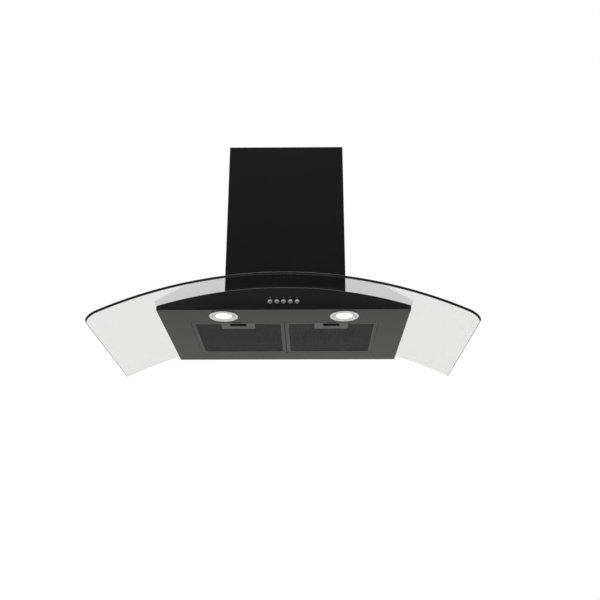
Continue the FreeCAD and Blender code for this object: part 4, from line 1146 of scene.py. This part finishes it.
@dataclass
class Filters:
    """Two mesh filters with their handle plates, latches and springs."""

    fold_edge: float = 0.0003
    strand_width: float = 0.0011
    strand_thickness: float = 0.0005
    long_way: float = 0.0070
    short_way: float = 0.0044
    tip_share: float = 0.4  # how far a tip stops short of the next row, over half a strand's width
    twist_share: float = 0.6  # lean of a strand at its tips, over its thickness
    layer_gap: float = 0.0050
    pocket_clearance: float = 0.0004
    rib_count: int = 3
    rib_pitch: float = 0.004
    rib_half: float = 0.014
    rib_radius: float = 0.0009
    rib_setback: float = 0.0055
    rib_steps: int = 6
    latch_plate: float = 0.0014
    latch_travel: float = 0.006
    spring_wire: float = 0.0003
    spring_turns: int = 6
    spring_steps: int = 144
    wire_steps: int = 8

    def layer(
        self, solid: Solid, low: Vector, high: Vector, z: float, hole: tuple[Vector, Vector]
    ) -> None:
        """Add one layer of expanded mesh: rows of zigzag strands that touch at their tips.

        Args:
            solid: The mesh that it joins.
            low: Lowest corner of the layer.
            high: Highest corner of the layer.
            z: Underside of the layer.
            hole: Lowest and highest corner of the pocket that the mesh is cut away round.
        """
        rows = int((high.y - low.y) / self.short_way * 2)
        pitch = (high.y - low.y) / rows
        columns = int((high.x - low.x) / self.long_way) * 2
        step = (high.x - low.x) / columns
        half = self.strand_width / 2
        thick = self.strand_thickness
        swing = pitch / 2 - half * self.tip_share
        for row in range(rows):
            middle = low.y + (row + 0.5) * pitch
            run: list[list[Vector]] = []
            for column in range(columns + 1):
                x = low.x + column * step
                up = 1 if (row + column) % 2 else -1
                y = min(max(middle + up * swing, low.y + half), high.y - half)
                if hole[0].x < x < hole[1].x and hole[0].y - half < y < hole[1].y + half:
                    self.strand(solid, run)
                    run = []
                    continue
                lean = up * thick * self.twist_share
                front, rear = z + max(lean, 0), z + max(-lean, 0)
                corners = (
                    (y - half, front),
                    (y + half, rear),
                    (y + half, rear + thick),
                    (y - half, front + thick),
                )
                run.append([Vector((x, *corner)) for corner in corners])
            self.strand(solid, run)

    def strand(self, solid: Solid, run: list[list[Vector]]) -> None:
        """Add one strand if it has any length."""
        if len(run) > 1:
            solid.loft(run)

    def mesh(self, side: str) -> None:
        """Build a filter's mesh, in two layers.

        Args:
            side: Which filter.
        """
        node = f"filter_{side}_mesh"
        low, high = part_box(node)
        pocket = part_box(f"filter_{side}_pocket")
        gap = Vector((self.pocket_clearance,) * 3)
        hole = (pocket[0] - gap, pocket[1] + gap)
        solid = Solid()
        for z in (low.z, low.z + self.layer_gap):
            self.layer(solid, low, high, z, hole)
        solid.piece(f"filter_{side}_expanded_mesh", f"filter_{side}", (LACQUERED_MESH,), (node,))

    def ribs(self, side: str) -> None:
        """Add the grip ribs that a finger feels on the latch.

        Args:
            side: Which filter.
        """
        low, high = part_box(f"filter_{side}_latch")
        solid = Solid()
        plate_low = high.z - self.latch_plate
        middle = (low.x + high.x) / 2
        section = arc(self.rib_radius, 180, 360, self.rib_steps)
        for i in range(self.rib_count):
            y = high.y - self.rib_setback - i * self.rib_pitch
            ends = (middle - self.rib_half, middle + self.rib_half)
            solid.loft([[Vector((x, y + a, plate_low + b)) for a, b in section] for x in ends])
        solid.piece(f"filter_{side}_latch_ribs", f"latch_{side}", (BLACK_NYLON,))

    def spring(self, side: str) -> None:
        """Coil a latch's spring.

        Args:
            side: Which filter.
        """
        node = f"filter_{side}_spring"
        low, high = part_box(node)
        middle = (low + high) / 2
        wire = self.spring_wire
        coil_radius = (high.x - low.x) / 2 - wire
        reach = high.y - low.y - 2 * wire
        section = arc(wire, 0, 360, self.wire_steps)[:-1]
        rows = []
        for i in range(self.spring_steps + 1):
            share = i / self.spring_steps
            turn = 2 * math.pi * self.spring_turns * share
            out = Vector((math.cos(turn), 0, math.sin(turn)))
            centre = Vector((middle.x, low.y + wire + reach * share, middle.z)) + out * coil_radius
            row = [centre + out * across + Vector((0, along, 0)) for across, along in section]
            rows.append(row)
        solid = Solid()
        solid.loft(rows)
        coil = solid.piece(f"filter_{side}_coil", f"filter_{side}", (SPRING_STEEL,), (node,))
        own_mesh(coil)

    def build(self) -> None:
        """Build the meshes, ribs and springs, and dress the rest."""
        for side in SIDES:
            self.mesh(side)
            self.ribs(side)
            self.spring(side)
            dress(f"filter_{side}_frame", ANODISED_RIM, self.fold_edge)
            dress(f"filter_{side}_handle", ANODISED_PLATE, self.fold_edge)
            mouldings = (f"filter_{side}_pocket", f"filter_{side}_latch")
            dress_all(mouldings, BLACK_NYLON, self.fold_edge)
            dress(f"filter_{side}_keeper", BLACK_STRIP)


# ---- Blower, outlet and wiring ----


@dataclass
class Blower:
    """Motor chamber, scroll, impeller, motor and outlet."""

    mould_edge: float = 0.0008

    def build(self) -> None:
        """Dress the blower and its outlet."""
        dress_all(("motor_chamber", "chamber_top_plate"), GALVANISED)
        dress_all(("scroll_housing", "scroll_cover", "motor_bracket"), GALVANISED)
        dress_all(("outlet_adapter", "outlet_collar"), BLACK_NYLON)
        dress_all((f"damper_flap_{side}" for side in SIDES), BLACK_NYLON)
        dress_all(("motor_shaft", "damper_pin"), GROUND_STEEL)
        dress("impeller", BLACK_NYLON)
        dress("impeller_nut", ZINC_PLATE)
        dress("motor_body", ENAMEL, self.mould_edge)


@dataclass
class Electrics:
    """Junction box, gland, capacitor, switch block and leads."""

    mould_edge: float = 0.0008

    def build(self) -> None:
        """Dress the electrical parts."""
        dress_all(("junction_box", "junction_box_cover"), GREY_ABS, self.mould_edge)
        dress("switch_block", BLACK_NYLON, self.mould_edge)
        dress("cable_gland", BLACK_NYLON)
        dress("capacitor", WHITE_PP, self.mould_edge)
        dress_all(("canopy_leads", "motor_lead"), PVC_SHEATH)


# ---- Studio ----


@dataclass
class Studio:
    """Camera, pale floor, soft lights and white surround."""

    camera_place: tuple[float, float, float] = (0.0548822, -2.1313532, -0.6632652)
    camera_pitch: float = 21.6147  # degrees up from level
    camera_yaw: float = 0.5204  # degrees left of straight ahead
    lens_mm: float = 47.128
    sensor_mm: float = 36.0
    floor_height: float = -1.55
    floor_half: float = 8.0
    floor_colour: str = "#EBEBE9"
    surround: float = 0.17  # strength of the dim even light
    ceiling_height: float = 3.2
    ceiling_half: float = 6.0
    ceiling_back: float = 3.5
    ceiling_power: float = 590.0
    front_place: tuple[float, float, float] = (-0.3, -2.8, 1.7)
    front_half: float = 1.2
    front_power: float = 4.5
    hood_middle: tuple[float, float, float] = (0, -0.2, 0.2)

    def camera(self) -> None:
        """Place the camera below the hood, tilted up."""
        data = bpy.data.cameras.new("camera")
        data.lens = self.lens_mm
        data.sensor_width = self.sensor_mm
        made = bpy.data.objects.new("camera", data)
        made.location = self.camera_place
        pitch, yaw = math.radians(90 + self.camera_pitch), math.radians(self.camera_yaw)
        made.rotation_euler = (pitch, 0, yaw)
        bpy.context.scene.collection.objects.link(made)
        bpy.context.scene.camera = made

    def floor(self) -> None:
        """Lay the floor well below the hood, centred under the ceiling light."""
        half, z = self.floor_half, self.floor_height
        mesh = bpy.data.meshes.new("floor")
        front, rear = self.ceiling_back - half, self.ceiling_back + half
        corners = [(-half, front, z), (half, front, z), (half, rear, z), (-half, rear, z)]
        mesh.from_pydata(corners, [], [(0, 1, 2, 3)])
        material = bpy.data.materials.new("pale_floor")
        material.use_nodes = True
        shader = material.node_tree.nodes["Principled BSDF"]
        shader.inputs["Base Color"].default_value = linear(self.floor_colour)
        shader.inputs["Roughness"].default_value = 0.9
        mesh.materials.append(material)
        made = bpy.data.objects.new("floor", mesh)
        bpy.context.scene.collection.objects.link(made)

    def light(self, name: str, place: Vector, aim: Vector, half: float, power: float) -> None:
        """Hang one square soft light.

        Args:
            name: Name of the light.
            place: Where it hangs.
            aim: The point that it faces.
            half: Half its side.
            power: Watts.
        """
        data = bpy.data.lights.new(name, "AREA")
        data.size = 2 * half
        data.energy = power
        made = bpy.data.objects.new(name, data)
        made.location = place
        made.rotation_euler = (aim - place).to_track_quat("-Z", "Y").to_euler()
        made.visible_camera = False
        made.visible_transmission = False
        bpy.context.scene.collection.objects.link(made)

    def surroundings(self) -> None:
        """Surround the hood with white for the eye, and a dim even light for everything else."""
        world = bpy.data.worlds.new("surround")
        world.use_nodes = True
        tree = world.node_tree
        tree.nodes.clear()
        rays = add_node(tree, "ShaderNodeLightPath")
        seen = add_node(
            tree,
            "ShaderNodeMath",
            {0: rays.outputs["Is Camera Ray"], 1: rays.outputs["Is Transmission Ray"]},
            operation="MAXIMUM",
        )
        strength = add_node(
            tree,
            "ShaderNodeMapRange",
            {"Value": seen.outputs["Value"], "To Min": self.surround, "To Max": 1.0},
        )
        back = add_node(tree, "ShaderNodeBackground", {"Strength": strength.outputs["Result"]})
        back.inputs["Color"].default_value = (1, 1, 1, 1)
        add_node(tree, "ShaderNodeOutputWorld", {"Surface": back.outputs["Background"]})
        bpy.context.scene.world = world

    def build(self) -> None:
        """Set up the studio."""
        self.camera()
        self.floor()
        self.surroundings()
        below = Vector((0, self.ceiling_back, 0))
        ceiling = below + Vector((0, 0, self.ceiling_height))
        self.light("ceiling", ceiling, below, self.ceiling_half, self.ceiling_power)
        place, aim = Vector(self.front_place), Vector(self.hood_middle)
        self.light("front", place, aim, self.front_half, self.front_power)
        bpy.context.scene.view_settings.view_transform = "Standard"


def main() -> None:
    """Build the hood and its studio."""
    logging.basicConfig(level=logging.INFO, format="%(message)s")
    Studio().build()
    glass = GlassCanopy()
    outside = (CanopyBody(), glass, Chimney(glass), Lamps(), PushButtons(), Filters())
    for assembly in (*outside, Blower(), Electrics()):
        assembly.build()
        log.info("%s done", type(assembly).__name__)


if __name__ == "__main__":
    main()
